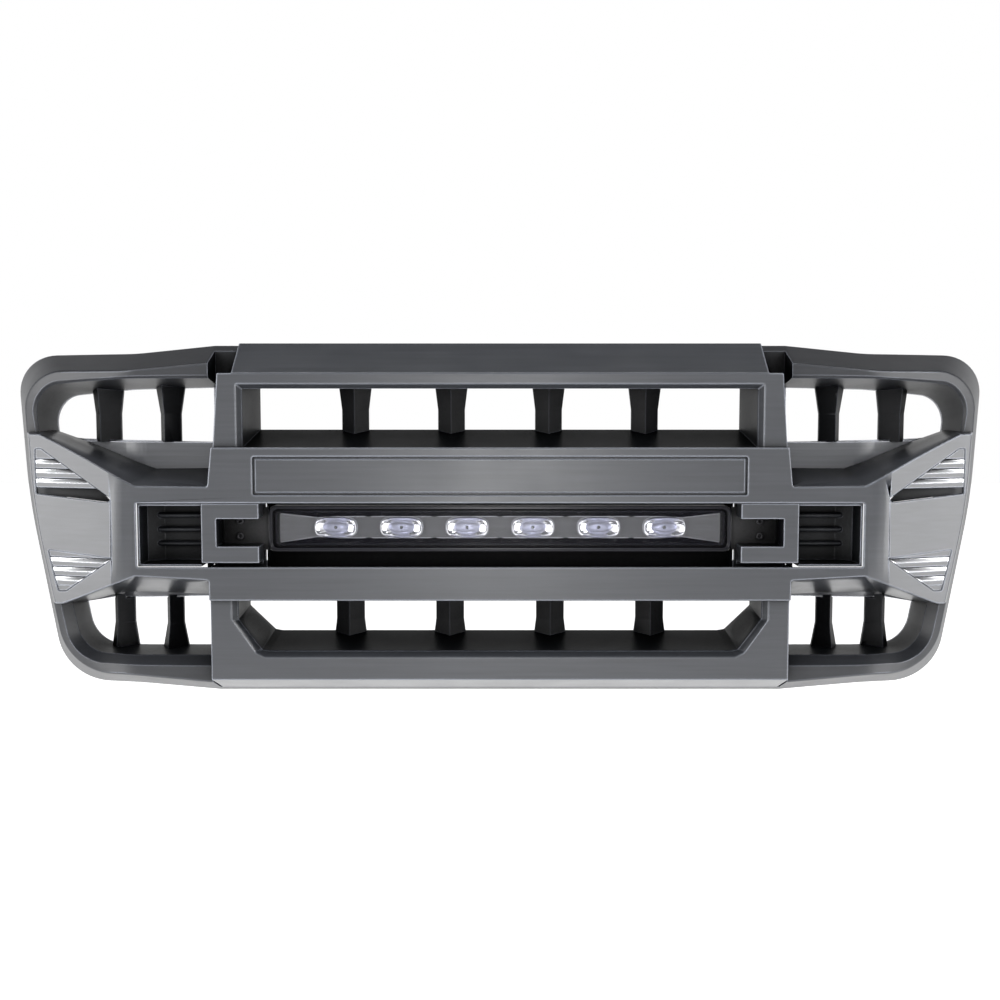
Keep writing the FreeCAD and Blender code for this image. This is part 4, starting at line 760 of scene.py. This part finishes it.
def buildLouvre(row, sign):
    spec = louvre[row]
    profile = louvreProfile(row)
    front = []
    for z, stays, grows in profile:
        outer = edgeAt(spec["edge"], z) - louvre["gap"]
        inner = edgeAt(spec["inner"], z) + 2 * louvre["gap"]
        line = []
        for k in range(louvre["steps"] + 1):
            share = k / louvre["steps"]
            x = outer + (inner - outer) * share
            deep = max(0.0, share - louvre["fade"]) / (1 - louvre["fade"])
            drop = louvre["setBack"] + stays + grows * deep ** louvre["growth"]
            y = -rimMould["seat"] + sweepBack(x) + drop
            line.append((sign * x, y, max(z, footAt(row, x))))
        front.append(line)
    back = [[(x, -rimMould["seat"] + sweepBack(x) + louvre["base"], z) for x, _, z in line] for line in front]
    count, rows = louvre["steps"] + 1, len(front)
    faces = stitch(front, closedLoop=False)
    # Slit faces are dull black, painted shade; the back and the sides are dull black too.
    plain, paintedHighlight, dark = 0, 1, 2
    marks = []
    for (_, _, grows), (_, _, grown) in zip(profile, profile[1:]):
        scoop = grows < grown <= louvre["scoopDepth"]
        slit = min(grows, grown) >= louvre["slitDepth"]
        marks += [paintedHighlight if scoop else dark if slit else plain] * (count - 1)
    offset = rows * count
    backFaces = [[offset + k for k in reversed(face)] for face in stitch(back, closedLoop=False)]
    border = [i * count for i in range(rows)] + [(rows - 1) * count + k for k in range(1, count)]
    border += [i * count + count - 1 for i in reversed(range(rows - 1))]
    border += [k for k in reversed(range(1, count - 1))]
    onward = border[1:] + border[:1]
    sides = [[here, there, there + offset, here + offset] for here, there in zip(border, onward)]
    faces += backFaces + sides
    marks += [dark] * (len(backFaces) + len(sides))
    word = "left" if sign < 0 else "right"
    addPiece(f"louvre_{row}_{word}", flatten(front + back), faces, [satinCharcoal, scoopGloss, dullBlack],
             [f"louvre_insert_{row}_{word}"], marks)


# The scoops: a light grey copy of the charcoal, a painted highlight.
scoopGloss = moulded("scoopGloss", plasticLook | {"colour": (0.42, 0.425, 0.44), "rough": 0.25,
                                                  "roughVary": 0.04})
for rowName in ("upper", "lower"):
    for sideSign in (-1, 1):
        buildLouvre(rowName, sideSign)
print("louvres built")

# Studio: white paper, a bright band of wall all round and a dark ceiling.

studio = {"floorDrop": 0.26, "floorSize": 14, "floorCells": 12,
          "paperGlow": 0.85, "paperRough": 0.9, "paperDark": 0.88, "paperLight": 0.92,
          "fibreScale": 60, "fibreDetail": 4,
          "horizon": 1.0, "ceiling": 0.05, "horizonEnd": 0.3, "ceilingStart": 0.6,
          "sensor": 36, "lens": 47.66, "cameraPlace": (0, -1.53, 0.14), "cameraAim": (0, -0.09, 0.02)}
lights = {"leftBox": {"place": (-1.5, -0.9, 0.15), "aim": (-0.3, 0, 0), "size": (0.9, 1.6), "power": 29},
          "rightBox": {"place": (1.5, -0.9, 0.15), "aim": (0.3, 0, 0), "size": (0.9, 1.6), "power": 29},
          "frontBox": {"place": (0, -1.7, -0.04), "aim": (0, 0, 0), "size": (0.25, 0.45), "power": 4.2},
          "topStrip": {"place": (0, -0.12, 1.1), "aim": (0, -0.05, 0), "size": (2.4, 0.12), "power": 12}}
white = (1, 1, 1)


# Puts a camera or a light in the room, turned to its aim.
def aimed(name, data, place, aim):
    obj = bpy.data.objects.new(name, data)
    obj.location = place
    obj.rotation_euler = (Vector(aim) - Vector(place)).to_track_quat("-Z", "Y").to_euler()
    scene.collection.objects.link(obj)
    return obj


def addLight(name, look):
    data = bpy.data.lights.new(name, "AREA")
    data.shape = "RECTANGLE"
    data.size, data.size_y = look["size"]
    data.energy = look["power"]
    aimed(name, data, look["place"], look["aim"])


def buildFloor():
    grid = bmesh.new()
    cells = studio["floorCells"]
    bmesh.ops.create_grid(grid, x_segments=cells, y_segments=cells, size=studio["floorSize"] / 2)
    mesh = bpy.data.meshes.new("studioFloor")
    grid.to_mesh(mesh)
    grid.free()
    floor = bpy.data.objects.new("studioFloor", mesh)
    floor.location.z = boxAtLoad[0].z - studio["floorDrop"]
    scene.collection.objects.link(floor)
    paper, tree, shader = newFinish("palePaper", {"Roughness": studio["paperRough"],
                                                  "Emission Color": spread(white, 1),
                                                  "Emission Strength": studio["paperGlow"]})
    where = addNode(tree, "ShaderNodeTexCoord")
    fibre = noiseAt(tree, where, studio["fibreScale"], studio["fibreDetail"])
    tint = ramp(tree, fibre, spread(white, studio["paperDark"]), spread(white, studio["paperLight"]))
    tree.links.new(tint, shader.inputs["Base Color"])
    mesh.materials.append(paper)


def buildWorld():
    world = bpy.data.worlds.new("studioWorld")
    scene.world = world
    world.use_nodes = True
    tree = world.node_tree
    where = addNode(tree, "ShaderNodeTexCoord")
    split = addNode(tree, "ShaderNodeSeparateXYZ")
    tree.links.new(where.outputs["Generated"], split.inputs["Vector"])
    shade = ramp(tree, split.outputs["Z"], spread(white, studio["horizon"]), spread(white, studio["ceiling"]),
                 (studio["horizonEnd"], studio["ceilingStart"]))
    tree.links.new(shade, tree.nodes["Background"].inputs["Color"])
    tree.nodes["Background"].inputs["Strength"].default_value = 1.0


def buildCamera():
    data = bpy.data.cameras.new("camera")
    data.sensor_width = studio["sensor"]
    data.lens = studio["lens"]
    scene.camera = aimed("camera", data, studio["cameraPlace"], studio["cameraAim"])


buildFloor()
buildWorld()
buildCamera()
for lightName, lightLook in lights.items():
    addLight(lightName, lightLook)
scene.view_settings.view_transform = "Standard"
print("studio built")
